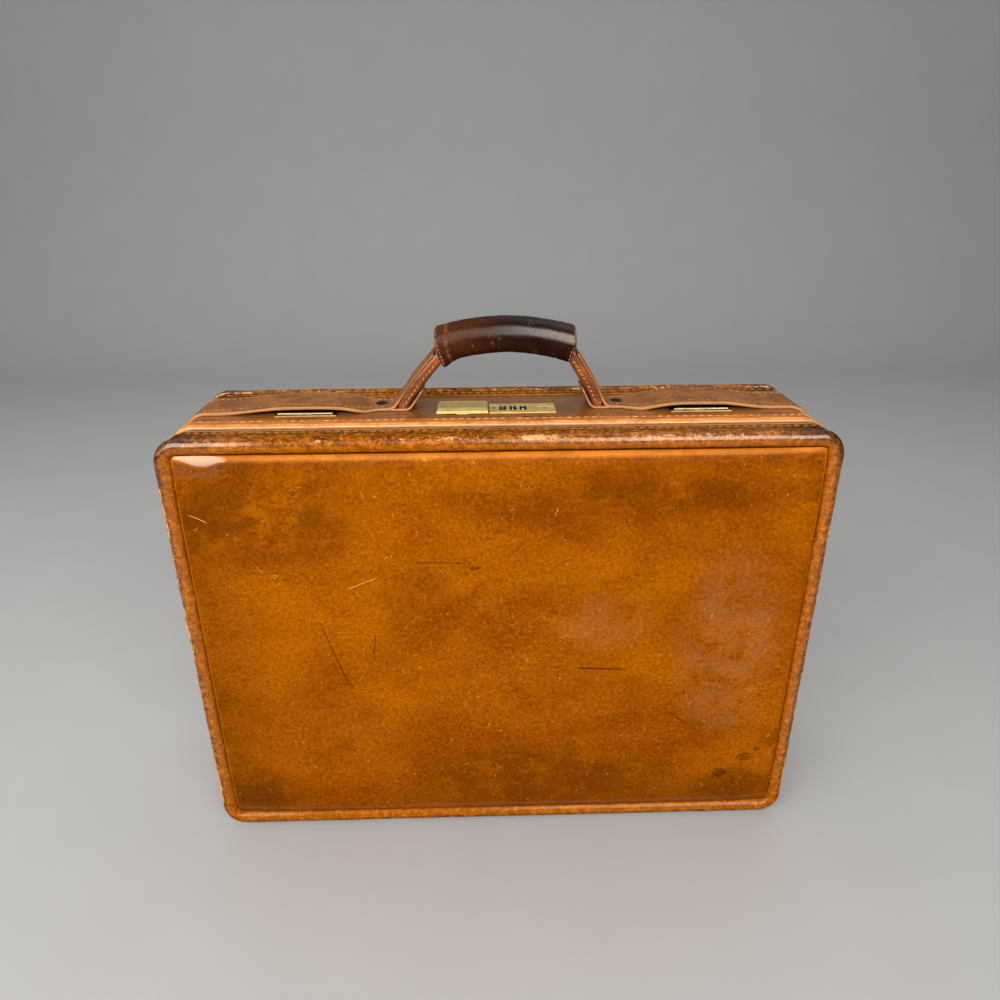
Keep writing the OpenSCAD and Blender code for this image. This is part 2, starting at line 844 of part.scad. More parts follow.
// Brass slides that show under the straps, one over each hook
module latch_slide(x) {
    color(brass) {
        difference() {
            top_block([x - slide_w / 2, bezel_front + 1.5, plate_t + gap],
                [x + slide_w / 2, bezel_front + 11.5, plate_t + gap + 1]);
            for (k = [-3:3]) top_block([x + k * 4 - 0.5, bezel_front + 4, plate_t + gap + 0.6],
                [x + k * 4 + 0.5, bezel_front + 9, plate_t + gap + over]);
        }
        stem(x, plate_t + gap + 0.5);
    }
}

module latch_slide_left() {
    latch_slide(hook_at(-1));
}

module latch_slide_right() {
    latch_slide(hook_at(1));
}

module latch_bezel(x) {
    color(brass) difference() {
        top_block([x - bezel_w / 2, bezel_front, 0],
            [x + bezel_w / 2, bezel_front + plate_d, plate_t]);
        stem_slot(x, plate_t + over);
    }
}

module latch_bezel_left() {
    latch_bezel(hook_at(-1));
}

module latch_bezel_right() {
    latch_bezel(hook_at(1));
}

module combination_plate() {
    color(brass) difference() {
        top_block([plate_x, lock_front, 0], [plate_x + plate_w, lock_front + plate_d, plate_t]);
        for (k = [0:2]) top_block([dial_first + k * dial_pitch - dial_w / 2 - gap,
            lock_depth - dial_r * 0.8, -over],
            [dial_first + k * dial_pitch + dial_w / 2 + gap, lock_depth + dial_r * 0.8,
                plate_t + over]);
        translate([plate_x + plate_w - 8, at_depth(lock_depth), wall_top + plate_t - 0.5])
            linear_extrude(over) {
                square([7, 7], center = true);
                for (s = [-1, 1]) translate([s * 3.5, 0]) circle(3.5);
            }
        for (x = [plate_x + 3, plate_x + plate_w - 8])
            top_rod(x, lock_depth, -over, plate_t + over, 1.2);
    }
}

// Indicator pin at the plate's left end and the change-code pin in its oval recess
module plate_pins() {
    color(steel) {
        top_rod(plate_x + 3, lock_depth, 0, plate_t + 0.4, 1.2);
        top_rod(plate_x + plate_w - 8, lock_depth, 0, plate_t, 1.2);
    }
}

axle_r = 1.5;
module dial(k) {
    grips = 10;
    color(black) translate([dial_first + k * dial_pitch - dial_w / 2, at_depth(lock_depth),
        wall_top + dial_h]) rotate([0, 90, 0]) difference() {
            cylinder(h = dial_w, r = dial_r);
            translate([0, 0, -over]) cylinder(h = dial_w + 2 * over, r = axle_r + pin_fit);
            for (i = [0:grips - 1]) rotate([0, 0, 360 * (i + 0.5) / grips])
                translate([dial_r + 0.35, 0, -over]) cylinder(h = 1.2 + over, r = 0.9);
        }
}

module dial_1() {
    dial(0);
}

module dial_2() {
    dial(1);
}

module dial_3() {
    dial(2);
}

case_sheet = 1;
case_half = dial_r + 0.6 + case_sheet;
case_left = dial_first - dial_w / 2 - 0.6 - case_sheet;
case_right = dial_first + 2 * dial_pitch + dial_w / 2 + 0.6 + case_sheet;
module dial_axle() {
    color(steel) translate([case_left, at_depth(lock_depth), wall_top + dial_h])
        rotate([0, 90, 0]) cylinder(h = case_right - case_left, r = axle_r);
}

// Sheet housing let into the wall from inside, which carries the dials' axle
module lock_case() {
    low = dial_h - dial_r - 0.8;
    color(steel) difference() {
        top_block([case_left, lock_depth - case_half, low - case_sheet],
            [case_right, lock_depth + case_half, 0]);
        top_block([case_left + case_sheet, lock_depth - case_half + case_sheet, low],
            [case_right - case_sheet, lock_depth + case_half - case_sheet, over]);
        translate([case_left - over, at_depth(lock_depth), wall_top + dial_h])
            rotate([0, 90, 0]) cylinder(h = case_right - case_left + 2 * over, r = axle_r);
    }
}

// Channel inside the top that hides the bar, with a window for each strike
channel_front = base_edge + 3.5;
channel_back = lock_depth + dial_r + 6;
channel_low = tongue_top - tongue_t - 4;
channel_left = hook_at(-1) - 34;
channel_right = hook_at(1) + 30;
module mechanism_cover() {
    sheet = 1;
    color(gunmetal) difference() {
        top_block([channel_left, channel_front, channel_low],
            [channel_right, channel_back, room_h]);
        top_block([channel_left + sheet, channel_front + sheet, channel_low + sheet],
            [channel_right - sheet, channel_back - sheet, room_h + over]);
        for (x = [hook_at(-1), hook_at(1)])
            top_block([x - 8, channel_front - over, tongue_top - tongue_t - 1],
                [x + 11, channel_front + sheet + over, room_h + over]);
    }
}

// Staples that hold the bar up to the wall and guide it
guide_xs = [-105, -62, 50, 105];
guide_w = 8;
module bar_guides() {
    color(steel) {
        for (x = guide_xs) difference() {
            top_block([x - guide_w / 2, bar_front - gap - 1.6, bar_low - gap - 1.2],
                [x + guide_w / 2, bar_front + bar_w + gap + 1.6, room_h]);
            top_block([x - guide_w / 2 - over, bar_front - gap, bar_low - gap],
                [x + guide_w / 2 + over, bar_front + bar_w + gap, room_h + over]);
        }
        spring_lug(guide_xs[1] + guide_w / 2 - lug_t, bar_low - gap);
    }
}

lock_rivet_x = 19;
lock_rivet_depth = 48;
module lock_rivets() {
    color(gunmetal) for (s = [-1, 1])
        translate([s * lock_rivet_x, at_depth(lock_rivet_depth), wall_top]) rivet(-room_h, 2.6, 0.8);
}

// Lugs on the bar and on one guide, between which the return spring works
spring_x = -40;
spring_r = 2.2;
wire_r = 0.4;
lug_t = 2;
lug_drop = 2 * (spring_r + wire_r) + gap;
module spring_lug(x, top) {
    top_block([x, bar_front + bar_w / 2 - 3, bar_low - lug_drop],
        [x + lug_t, bar_front + bar_w / 2 + 3, top]);
}

// Return spring: one round wire, wound by a formula
coils = 7;
coil_steps = 8;
wire_sides = 6;
spring_from = guide_xs[1] + guide_w / 2 + wire_r + gap / 2;
spring_run = spring_x - spring_from - wire_r - gap / 2;
function coil_point(turn, out, along) =
    [spring_from + spring_run * turn / coils + along,
     (spring_r + out) * cos(360 * turn), (spring_r + out) * sin(360 * turn)];

module return_spring() {
    rings = coils * coil_steps;
    points = [for (i = [0:rings], k = [0:wire_sides - 1]) let (a = 360 * k / wire_sides)
        coil_point(i / coil_steps, wire_r * cos(a), wire_r * sin(a))];
    color(steel) translate([0, at_depth(bar_front + bar_w / 2),
        wall_top + bar_low - gap - spring_r - wire_r])
        polyhedron(points = points, faces = concat(
            [[for (k = [wire_sides - 1:-1:0]) k]],
            [for (i = [0:rings - 1], k = [0:wire_sides - 1])
                let (m = (k + 1) % wire_sides, a = i * wire_sides)
                each [[a + k, a + m, a + wire_sides + m],
                    [a + k, a + wire_sides + m, a + wire_sides + k]]],
            [[for (k = [0:wire_sides - 1]) rings * wire_sides + k]]));
}

// Strikes on the lid: a foot on the lining, and a notched tongue that enters the channel
module strike(x) {
    notch_front = post_depth - post_w / 2 - 0.5;
    notch_back = post_depth + post_w / 2 + 0.5;
    tip = notch_back + 3.5;
    color(steel) difference() {
        union() {
            top_block([x - 5, lid_floor + lining_t + 1, room_h - 1.6],
                [x + 8, lid_edge - valance_reach - 1, room_h]);
            top_block([x - 5, lid_edge - valance_reach - 3, tongue_top - tongue_t],
                [x + 8, lid_edge - valance_reach - 1, room_h]);
            top_block([x - 5, lid_edge - valance_reach - 3, tongue_top - tongue_t],
                [x + 8, tip, tongue_top]);
        }
        top_block([x - 6, notch_front, tongue_top - tongue_t - over],
            [x + post_w / 2 + 0.8, notch_back, tongue_top + over]);
    }
}

module strike_left() {
    strike(hook_at(-1));
}

module strike_right() {
    strike(hook_at(1));
}

// Lid stays: two arms a side, folded when shut and nearly straight when open. The
// hinge and the three pivots are a parallelogram, so that the arm on the base always
// turns with the lid. Places are [behind the hinge line, above the hinge line].
pivot_base = [stay_back, stay_low];
pivot_lid = [stay_front - lid_d, stay_high];
pivot_elbow = pivot_base + pivot_lid;
bracket_t = 1.5;
head_t = 0.8;
base_arm_x = room_side - bracket_t - gap;
lid_arm_x = base_arm_x - stay_t - gap;
stay_pin = 2;
stay_head = 3.2;

// Places a flat part drawn back and up from the hinge line against one side wall
module at_side(side, outer, thick) {
    translate([side > 0 ? outer - thick : -outer, at_depth(lid_d), hinge_z])
        rotate([90, 0, 90]) linear_extrude(thick) children();
}

module arm_outline(a, b) {
    run = norm(b - a);
    translate(a) rotate(atan2(b[1] - a[1], b[0] - a[0])) {
        translate([0, -stay_w / 2]) square([run, stay_w]);
        circle(stay_w / 2);
        translate([run, 0]) circle(stay_w / 2);
    }
}

module stay_arm_base(side) {
    color(brass) at_side(side, base_arm_x, stay_t) difference() {
        arm_outline(pivot_base, pivot_elbow);
        translate(pivot_base) circle(stay_pin + pin_fit);
        translate(pivot_elbow) circle(stay_pin + pin_fit);
    }
}

// The lid arm carries the elbow's rivet, and its own rivet head at the lid end
module stay_arm_lid(side) {
    color(brass) {
        at_side(side, lid_arm_x, stay_t) arm_outline(pivot_elbow, pivot_lid);
        at_side(side, base_arm_x + gap / 2, stay_t + gap * 1.5)
            translate(pivot_elbow) circle(stay_pin);
        at_side(side, base_arm_x + gap / 2 + head_t, head_t)
            translate(pivot_elbow) circle(stay_head);
        at_side(side, room_side - gap, room_side - gap - lid_arm_x)
            translate(pivot_lid) circle(stay_pin);
        for (p = [pivot_elbow, pivot_lid])
            at_side(side, lid_arm_x - stay_t, head_t) translate(p) circle(stay_head);
    }
}

module stay_arm_base_left() {
    stay_arm_base(-1);
}

module stay_arm_base_right() {
    stay_arm_base(1);
}

module stay_arm_lid_left() {
    stay_arm_lid(-1);
}

module stay_arm_lid_right() {
    stay_arm_lid(1);
}

module bracket_outline(p) {
    translate(p) square([9, 22], center = true);
    for (s = [-1, 1]) translate(p + [0, s * 11]) circle(4.5);
}

module stay_brackets_base() {
    color(brass) for (side = [-1, 1]) {
        at_side(side, room_side, bracket_t) bracket_outline(pivot_base);
        at_side(side, room_side - bracket_t, stay_t + 1.5 * gap)
            translate(pivot_base) circle(stay_pin);
        at_side(side, base_arm_x - stay_t - gap / 2, head_t)
            translate(pivot_base) circle(stay_head);
    }
}

module stay_brackets_lid() {
    color(brass) for (side = [-1, 1])
        at_side(side, room_side, room_side - lid_arm_x - gap) difference() {
            bracket_outline(pivot_lid);
            translate(pivot_lid) circle(stay_pin + gap);
        }
}

base_frame();
base_board();
base_cover();
base_binding();
back_rim();
back_panel();
base_lining();
valance_strip();
hinge_leaf_base();
hinge_pin();
hinge_screws_base();
base_feet();
strap_left();
strap_right();
strap_rivets();
foot_cradle_left();
foot_cradle_right();
combination_plate();
plate_pins();
dial_axle();
lock_case();
mechanism_cover();
bar_guides();
lock_rivets();
latch_bezel_left();
latch_bezel_right();
stay_brackets_base();
return_spring();
lid_frame();
lid_board();
lid_cover();
front_rim();
front_panel();
lid_lining();
document_pocket();
card_pockets();
strike_left();
strike_right();
hinge_leaf_lid();
hinge_screws_lid();
lid_feet();
stay_brackets_lid();
release_button();
release_bar();
latch_slide_left();
latch_slide_right();
dial_1();
dial_2();
dial_3();
handle_core();
handle_grip();
handle_ply_left();
handle_ply_right();
stay_arm_base_left();
stay_arm_base_right();
stay_arm_lid_left();
stay_arm_lid_right();
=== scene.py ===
# %% [markdown]
# # A glossy leather attache case
# This file dresses a finished CAD model of a hard travel case: a shallow lid in front, a deep
# body behind it, padded leather panels in stitched rims, straps over the latches and a bent
# grip. The frame is fixed. Each new surface is a formula on a grid of points, worked out with
# numpy, so the pieces stay easy to change. All lengths here are millimetres until the moment
# a mesh is made.

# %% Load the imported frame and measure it
import functools
import math

import bmesh
import bpy
import numpy as np
from mathutils import Matrix, Vector


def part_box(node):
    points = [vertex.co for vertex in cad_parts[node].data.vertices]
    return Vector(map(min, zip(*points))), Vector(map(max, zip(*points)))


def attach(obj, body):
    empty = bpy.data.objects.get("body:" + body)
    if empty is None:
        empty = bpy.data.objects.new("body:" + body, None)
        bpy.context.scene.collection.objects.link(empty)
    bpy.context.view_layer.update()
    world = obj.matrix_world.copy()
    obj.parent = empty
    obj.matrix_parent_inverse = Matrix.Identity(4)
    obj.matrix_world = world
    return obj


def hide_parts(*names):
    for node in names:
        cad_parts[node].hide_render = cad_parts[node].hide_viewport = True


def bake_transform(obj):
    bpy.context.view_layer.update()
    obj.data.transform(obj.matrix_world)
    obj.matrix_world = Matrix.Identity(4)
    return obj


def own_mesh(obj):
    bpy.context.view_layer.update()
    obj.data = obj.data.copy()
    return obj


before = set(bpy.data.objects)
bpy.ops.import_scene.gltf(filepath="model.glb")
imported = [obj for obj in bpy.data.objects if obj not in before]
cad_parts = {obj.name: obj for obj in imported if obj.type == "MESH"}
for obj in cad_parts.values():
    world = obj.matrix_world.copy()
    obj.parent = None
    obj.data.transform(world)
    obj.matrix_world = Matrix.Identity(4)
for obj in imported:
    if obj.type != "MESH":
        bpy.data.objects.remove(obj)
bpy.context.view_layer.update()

MM = 0.001
CASE_W, CASE_H, CASE_D = 457.0, 333.0, 125.0
CORNER = 18.0
MID_Z = 169.5
WALL_TOP = 333.5
WALL_SIDE = 226.0
GRIP_BEND, BEND_MID = 164.0, -111.5
HINGE_DEPTH, HINGE_Z = 30.0, 5.2
KNUCKLE_ROOM, KNUCKLES_END = 2.35, 201
SIDES = ((-1, "left"), (1, "right"))

# %% [markdown]
# ## From a formula to a mesh
# A sheet of leather is a grid of points with quads between them. These few helpers turn arrays
# of points into closed pieces. A bead, a rim or a strap is a profile carried along a path, and
# its ends are closed with a fan of triangles to a middle point, so that no mesh has a hole.


# %% Helpers that make a piece from arrays of points
def join(*parts):
    """Numbers and arrays put side by side along a new last axis, such as x, y and z."""
    return np.stack(np.broadcast_arrays(*parts), -1)


def place(x, depth, z):
    """Points (x, depth behind the front rim, height) in mm, as row-frame points in metres."""
    return join(x, depth - CASE_D / 2, z) * MM


def lattice(rows, cols, round_rows=False, round_cols=False, first=0):
    """Quads of a rows x cols grid of points: (i, j), (i, j+1), (i+1, j+1), (i+1, j)."""
    i, j = np.meshgrid(np.arange(rows if round_rows else rows - 1),
                       np.arange(cols if round_cols else cols - 1), indexing="ij")
    i2, j2 = (i + 1) % rows, (j + 1) % cols
    quads = join(i * cols + j, i * cols + j2, i2 * cols + j2, i2 * cols + j)
    return (first + quads.reshape(-1, 4)).tolist()


def fan(ring, middle):
    """Triangles from each edge of a closed ring of point numbers to one middle point."""
    return join(ring, np.roll(ring, -1), middle).tolist()


def band(first, second):
    """Quads between two closed rings of as many point numbers."""
    return join(first, np.roll(first, -1), np.roll(second, -1), second).tolist()


def border(rows, cols):
    """Point numbers round the outside of a rows x cols grid."""
    number = np.arange(rows * cols).reshape(rows, cols)
    return np.concatenate([number[0, :-1], number[:-1, -1], number[-1, :0:-1], number[:0:-1, 0]])


def make_piece(name, points, faces, finish, marks=None, body=None, nodes=()):
    """A smooth mesh of row-frame points with its marks; nodes are the CAD pieces it replaces."""
    mesh = bpy.data.meshes.new(name)
    mesh.from_pydata(points.reshape(-1, 3).tolist(), [], faces)
    for mark, values in (marks or {}).items():
        layer = mesh.attributes.new(mark, "FLOAT", "POINT")
        layer.data.foreach_set("value", np.asarray(values, np.float32).ravel())
    shape = bmesh.new()
    shape.from_mesh(mesh)
    bmesh.ops.recalc_face_normals(shape, faces=shape.faces)
    shape.to_mesh(mesh)
    shape.free()
    mesh.shade_smooth()
    mesh.materials.append(finish.material)
    piece = bpy.data.objects.new(name, mesh)
    bpy.context.scene.collection.objects.link(piece)
    if body:
        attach(piece, body)
    if nodes:
        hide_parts(*nodes)
    return piece


def unit(vectors):
    """Vectors scaled to length one."""
    return vectors / np.maximum(np.linalg.norm(vectors, axis=-1, keepdims=True), 1e-12)


def run_of(path):
    """How far each point of a path lies from its start, measured along the path."""
    return np.concatenate([[0], np.cumsum(np.linalg.norm(np.diff(path, axis=0), axis=1))])


def limit(values):
    """Values kept between 0 and 1."""
    return np.clip(values, 0, 1)


def bell(off, width):
    """exp(-(off / width)^2): 1 where off is 0, and falling away on both sides."""
    return np.exp(-(off / width) ** 2)


def smooth(t):
    """3 t^2 - 2 t^3, which rises from 0 to 1 with level ends."""
    return t * t * (3 - 2 * t)


def waves(points, size, seed):
    """Sum of twelve sine waves of random direction and length near size, about -1 to 1."""
    rng = np.random.default_rng(seed)
    points = np.asarray(points, float)
    direction = unit(rng.normal(size=(12, points.shape[-1])))
    pitch = 2 * np.pi / (size * rng.uniform(0.6, 1.9, 12))
    phase = rng.uniform(0, 2 * np.pi, 12)
    return np.sin(points @ (direction * pitch[:, None]).T + phase).sum(-1) / 4


def uneven(points, seed, *parts):
    """Waves added up, each part being a height and a size in mm."""
    return sum(height * waves(points, size, seed + k) for k, (height, size) in enumerate(parts))


def capped_tube(rings):
    """Points and faces of closed rings (n, m, 3) joined in a row, with a fan over each end."""
    count, around = rings.shape[:2]
    points = np.concatenate([rings.reshape(-1, 3), rings[0].mean(0)[None], rings[-1].mean(0)[None]])
    faces = lattice(count, around, round_cols=True)
    faces += fan(np.arange(around), count * around)
    faces += fan(np.arange(around) + (count - 1) * around, count * around + 1)
    return points, faces


def make_tube(name, rings, finish, marks=None, body=None, nodes=()):
    """A piece from closed rings (n, m, 3) of x, depth and height in mm."""
    points, faces = capped_tube(rings)
    return make_piece(name, place(*points.T), faces, finish, marks, body, nodes)


# %% [markdown]
# ## The finishes
# Each finish is one small tree of shader nodes. `Value` lets the tree be written as arithmetic,
# and `Finish.add` places any node. Patterns read the object's own coordinates, in millimetres,
# so that a grain or a scuff has a real size and stays on the leather when a lid swings.


# %% A small language for shader maths
class Value:
    """What comes out of a shader node; arithmetic with it adds Math nodes."""

    def __init__(self, finish, socket):
        self.finish = finish
        self.socket = socket

    def math(self, operation, *others):
        return self.finish.add("Math", {"operation": operation}, dict(enumerate((self,) + others)))

    def reflected(self, operation, other):
        return self.finish.add("Math", {"operation": operation}, {0: other, 1: self})

    def __add__(self, other):
        return self.math("ADD", other)

    def __sub__(self, other):
        return self.math("SUBTRACT", other)

    def __rsub__(self, other):
        return self.reflected("SUBTRACT", other)

    def __mul__(self, other):
        return self.math("MULTIPLY", other)

    def __truediv__(self, other):
        return self.math("DIVIDE", other)

    def __rtruediv__(self, other):
        return self.reflected("DIVIDE", other)

    def __pow__(self, other):
        return self.math("POWER", other)

    def __abs__(self):
        return self.math("ABSOLUTE")

    __radd__ = __add__
    __rmul__ = __mul__

    def most(self, other):
        return self.math("MAXIMUM", other)

    def step(self, low, high):
        """Rises smoothly from 0 at low to 1 at high, or falls where low is the larger."""
        return self.finish.add("MapRange", {"interpolation_type": "SMOOTHSTEP"},
                               {"Value": self, "From Min": low, "From Max": high})


class Finish:
    """One material: constants sit on the shader's own sockets, patterns are added as nodes."""

    def __init__(self, name, slot, **constants):
        self.slot = slot
        self.material = bpy.data.materials.new(name)
        self.material.use_nodes = True
        self.tree = self.material.node_tree
        self.tree.nodes.clear()
        self.shader = self.tree.nodes.new("ShaderNodeBsdfPrincipled")
        out = self.tree.nodes.new("ShaderNodeOutputMaterial")
        self.tree.links.new(self.shader.outputs[0], out.inputs[0])
        for socket, value in constants.items():
            self.shader.inputs[socket.replace("_", " ")].default_value = value
        coordinates = self.add("TexCoord", {}, {}, "Object")
        self.mm = self.add("VectorMath", {"operation": "SCALE"},
                           {"Vector": coordinates, "Scale": 1 / MM})
        apart = self.tree.nodes.new("ShaderNodeSeparateXYZ")
        self.tree.links.new(self.mm.socket, apart.inputs[0])
        self.x, self.y, self.z = (Value(self, s) for s in apart.outputs)

    def add(self, kind, settings, inputs, out=0):
        node = self.tree.nodes.new("ShaderNode" + kind)
        for name, value in settings.items():
            setattr(node, name, value)
        for key, value in inputs.items():
            socket = node.inputs[key] if isinstance(key, int) else next(
                s for s in node.inputs if s.identifier == key)
            if isinstance(value, Value):
                self.tree.links.new(value.socket, socket)
            else:
                socket.default_value = value
        socket = node.outputs[out] if isinstance(out, int) else next(
            s for s in node.outputs if s.identifier == out)
        return Value(self, socket)

    def mark(self, name):
        """A number painted on the mesh's points."""
        return self.add("Attribute", {"attribute_name": name}, {}, "Fac")

    def stretched(self, factors):
        return self.add("VectorMath", {"operation": "MULTIPLY"}, {0: self.mm, 1: factors})

    def noise(self, size, detail=3.0, rough=0.5, stretch=None, warp=0.0):
        """Soft noise of a given size in mm, from 0 to 1 with its middle at 0.5."""
        at = self.mm if stretch is None else self.stretched(stretch)
        return self.add("TexNoise", {}, {"Vector": at, "Scale": 1 / size, "Detail": detail,
                                         "Roughness": rough, "Distortion": warp}, "Fac")

    def cells(self, size):
        """Distance to the nearest of scattered points of a given spacing in mm."""
        return self.add("TexVoronoi", {}, {"Vector": self.mm, "Scale": 1 / size}, "Distance")

    def mix(self, share, *colours):
        """Two colours mixed by a share; three numbers are a screen colour of 0 to 255."""
        first, second = (rgb(*c) if isinstance(c, tuple) and len(c) == 3 else c for c in colours)
        return self.add("Mix", {"data_type": "RGBA"}, {"Factor_Float": share, "A_Color": first,
                                                       "B_Color": second}, "Result_Color")

    def layers(self, colour, *over):
        """Lays (share, colour) pairs over a first colour, one after another."""
        for share, upper in over:
            colour = self.mix(share, colour, upper)
        return colour

    def lines(self, size, width, warp=1.5, stretch=None):
        """Thin wandering lines: where soft noise passes through its middle value."""
        return abs(self.noise(size, 2.0, 0.5, stretch, warp) - 0.5).step(width, 0.0)

    def spot(self, x, z, half_w, half_h, soft=0.35):
        """An oval mark on the front, 1 inside and 0 outside."""
        reach = ((self.x - x) / half_w) ** 2.0 + ((self.z - z) / half_h) ** 2.0
        return reach.step(1.0 + soft, 1.0 - soft)

    def stroke(self, start, end, width, bend=0.0):
        """A drawn line on the front from start to end (x, z), fading at both ends."""
        run = np.array(end) - start
        length = float(np.hypot(*run))
        ahead = (run / length).tolist()
        dx, dz = self.x - start[0], self.z - start[1]
        share = (dx * ahead[0] + dz * ahead[1]) / length
        off = dx * -ahead[1] + dz * ahead[0] + share * (1 - share) * bend
        off = off + (self.noise(6, 2.0) - 0.5) * 1.2
        ends = share.step(0.0, 0.15) * share.step(1.0, 0.8)
        return abs(off).step(width, 0.0) * ends

    def paint(self, colour=None, rough=None, relief=None, depth=0.1, coat=None):
        """Joins patterns to the shader; relief from 0 to 1 stands depth mm high."""
        for socket, value in (("Base Color", colour), ("Roughness", rough),
                              ("Coat Weight", coat)):
            if value is not None:
                self.tree.links.new(value.socket, self.shader.inputs[socket])
        if relief is not None:
            bump = self.add("Bump", {}, {"Height": relief, "Distance": depth * MM})
            self.tree.links.new(bump.socket, self.shader.inputs["Normal"])
        return self


def strongest(patterns):
    """The largest of several patterns at every place."""
    return functools.reduce(Value.most, patterns)


def rgb(red, green, blue):
    """A screen colour of 0 to 255 as the linear colour that a shader takes."""
    part = np.array([red, green, blue]) / 255
    linear = np.where(part <= 0.04045, part / 12.92, ((part + 0.055) / 1.055) ** 2.4)
    return tuple(linear.tolist()) + (1.0,)


# %% [markdown]
# ### Leather
# Waxed belting leather is never one colour. The front has slow clouds of dark and light, small
# speckles, hair-fine scratches and a few stains where they show in the photograph. Its gloss is
# a clear coat over a rougher grain. Worn places, such as the rim's outer edge, have lost their
# dye, and the raw tan shows through.

# %% Leather finishes
def leather_grain(finish, size=1.1):
    """Pebbled grain: cells with soft noise over them, from 0 to 1."""
    return finish.cells(size) * 0.55 + finish.noise(size * 2.4, 4.0, 0.6) * 0.45


# Strokes: start, end, width, bend. Spots: x, z, half width, half height, strength.
DARK_STROKES = [((-131, 197), (-113, 136), 0.9, 2.5), ((52, 154), (93, 151.5), 1.6, 2.0),
                ((-92, 186), (-95, 168), 0.8, 1.0), ((-62, 245), (-26, 244), 0.6, 0.0),
                ((120, 118), (146, 96), 0.6, 3.0)]
PALE_STROKES = [((-110, 224), (-87, 234), 0.55), ((-211, 284), (-198, 277), 0.6, -2.0)]
SHADES = [(-165.0, 278.0, 62.0, 36.0, 0.55), (62.0, 288.0, 84.0, 24.0, 0.35),
          (-190.0, 40.0, 34.0, 20.0, 0.55), (36.0, 48.0, 100.0, 30.0, 0.55),
          (186.0, 34.0, 30.0, 16.0, 0.5), (-60.0, 205.0, 26.0, 30.0, 0.3),
          (150.0, 292.0, 60.0, 12.0, 0.35)]
HAZE = [(166.0, 168.0, 34.0, 72.0, 0.34), (74.0, 192.0, 30.0, 22.0, 0.22)]
STAINS = [(173.5, 47.8, 5.6, 4.8, 0.7), (191.7, 64.0, 6.2, 4.4, 0.55), (201.0, 72.0, 2.4, 2.2, 0.6),
          (-19.6, 239.7, 3.4, 1.5, 0.7), (-31.0, 244.0, 2.2, 0.8, 0.6), (96.0, 232.0, 3.0, 1.6, 0.4)]


def make_panel_leather():
    """Clouded, mottled leather with the front's shades, scratches and stains laid over it, a painted
    highlight along its edges and painted shade at its outer rim.
    """
    leather = Finish("panel_leather", "panel_leather", Coat_Roughness=0.15,
                     Specular_IOR_Level=0.0)
    clouds = leather.noise(110, 6.0, 0.62, (1.0, 1.0, 1.6), 0.25)
    blotches = leather.noise(24, 6.0, 0.74, (1.0, 1.0, 1.3), 0.2)
    mottle = leather.noise(3.0, 6.0, 0.82)
    grain = leather_grain(leather, 0.8)
    front = leather.y.step(0.0, -10.0)
    side, rise = abs(leather.x), abs(leather.z - MID_Z)
    shades = [(leather.spot(*where, 0.9) * blotches.step(0.30, 0.56) * strength, (92, 40, 2))
              for *where, strength in SHADES]
    haze = [(leather.spot(*where, 0.9) * blotches.step(0.66, 0.36) * strength, (176, 120, 76))
            for *where, strength in HAZE]
    left = leather.x.step(-150.0, -214.0) * clouds.step(0.28, 0.5) * front
    # painted highlight: the upward-facing band along the top edge and a thin pale line down both
    # sides are painted lighter, as a lamp's reflection would light them
    painted_edge_highlight = ((leather.z - MID_Z).step(149.5, 154.0) * 0.7).most(
        side.step(215.0, 215.9) * blotches.step(0.35, 0.55) * 0.6)
    # painted shade: the panel's outermost rim, where it dips into the recess round it, is painted
    # near black
    painted_groove_shade = side.step(216.5, 217.0).most(rise.step(154.8, 155.1))
    # darker in blotches near the side edges and near the top and bottom edges
    darker_near_edges = side.step(196.0, 216.0).most(rise.step(140.0, 149.0)) * blotches.step(0.40, 0.60)
    low_band = leather.z.step(64.0, 20.0) * clouds.step(0.34, 0.60)
    hairs = leather.lines(26, 0.0035, 2.0) * leather.noise(12, 2.0).step(0.52, 0.60)
    nicks = leather.lines(9, 0.010, 1.0, (1.0, 1.0, 0.35)) * leather.noise(5, 2.0).step(0.60, 0.68)
    veins = leather.lines(40, 0.006, 2.5) * leather.noise(22, 3.0).step(0.50, 0.60)
    creases = strongest(leather.stroke(*stroke) for stroke in DARK_STROKES) * front
    stains = strongest(leather.spot(*where) * mottle.step(0.25, 0.6) * strength
                       for *where, strength in STAINS) * front
    pale = strongest(leather.stroke(*stroke) for stroke in PALE_STROKES)
    colour = leather.layers(
        leather.mix(clouds.step(0.30, 0.66), (148, 73, 1), (184, 100, 2)),
        (blotches.step(0.48, 0.74) * 0.42, (112, 50, 2)),
        (mottle.step(0.47, 0.64) * 0.62, (104, 44, 0)),
        (mottle.step(0.47, 0.34) * 0.50, (218, 126, 2)),
        *shades, *haze,
        (grain.step(0.40, 0.62) * 0.25, (88, 38, 2)),
        (left * 0.35, (92, 42, 4)),
        # painted highlight along the top edge and the sides
        (painted_edge_highlight, (230, 134, 30)),
        # painted shade where the panel meets its rim
        (painted_groove_shade * 0.85, (52, 22, 2)),
        # darker towards the bottom, and near the edges
        ((low_band * 0.5).most(darker_near_edges * 0.3), (92, 40, 3)),
        (hairs.most(nicks) * 0.45, (244, 176, 86)),
        (veins * 0.45, (84, 36, 6)),
        ((creases * 0.75).most(stains), (58, 24, 8)),
        (pale * front * 0.6, (246, 190, 110)))
    rough = 0.40 + blotches * 0.16 + mottle * 0.12
    relief = grain * 0.6 + mottle * 0.7 - hairs * 0.4 - veins * 0.5 - creases * 1.2
    shine = 0.03 + rise.step(146.2, 148.4) * (0.05 + rise.step(151.0, 149.4) * 0.45)
    shine = shine.most(leather.spot(-200.0, MID_Z + 149.5, 20.0, 9.0, 0.4) * 0.9)
    return leather.paint(colour, rough, relief, 0.06, coat=shine)


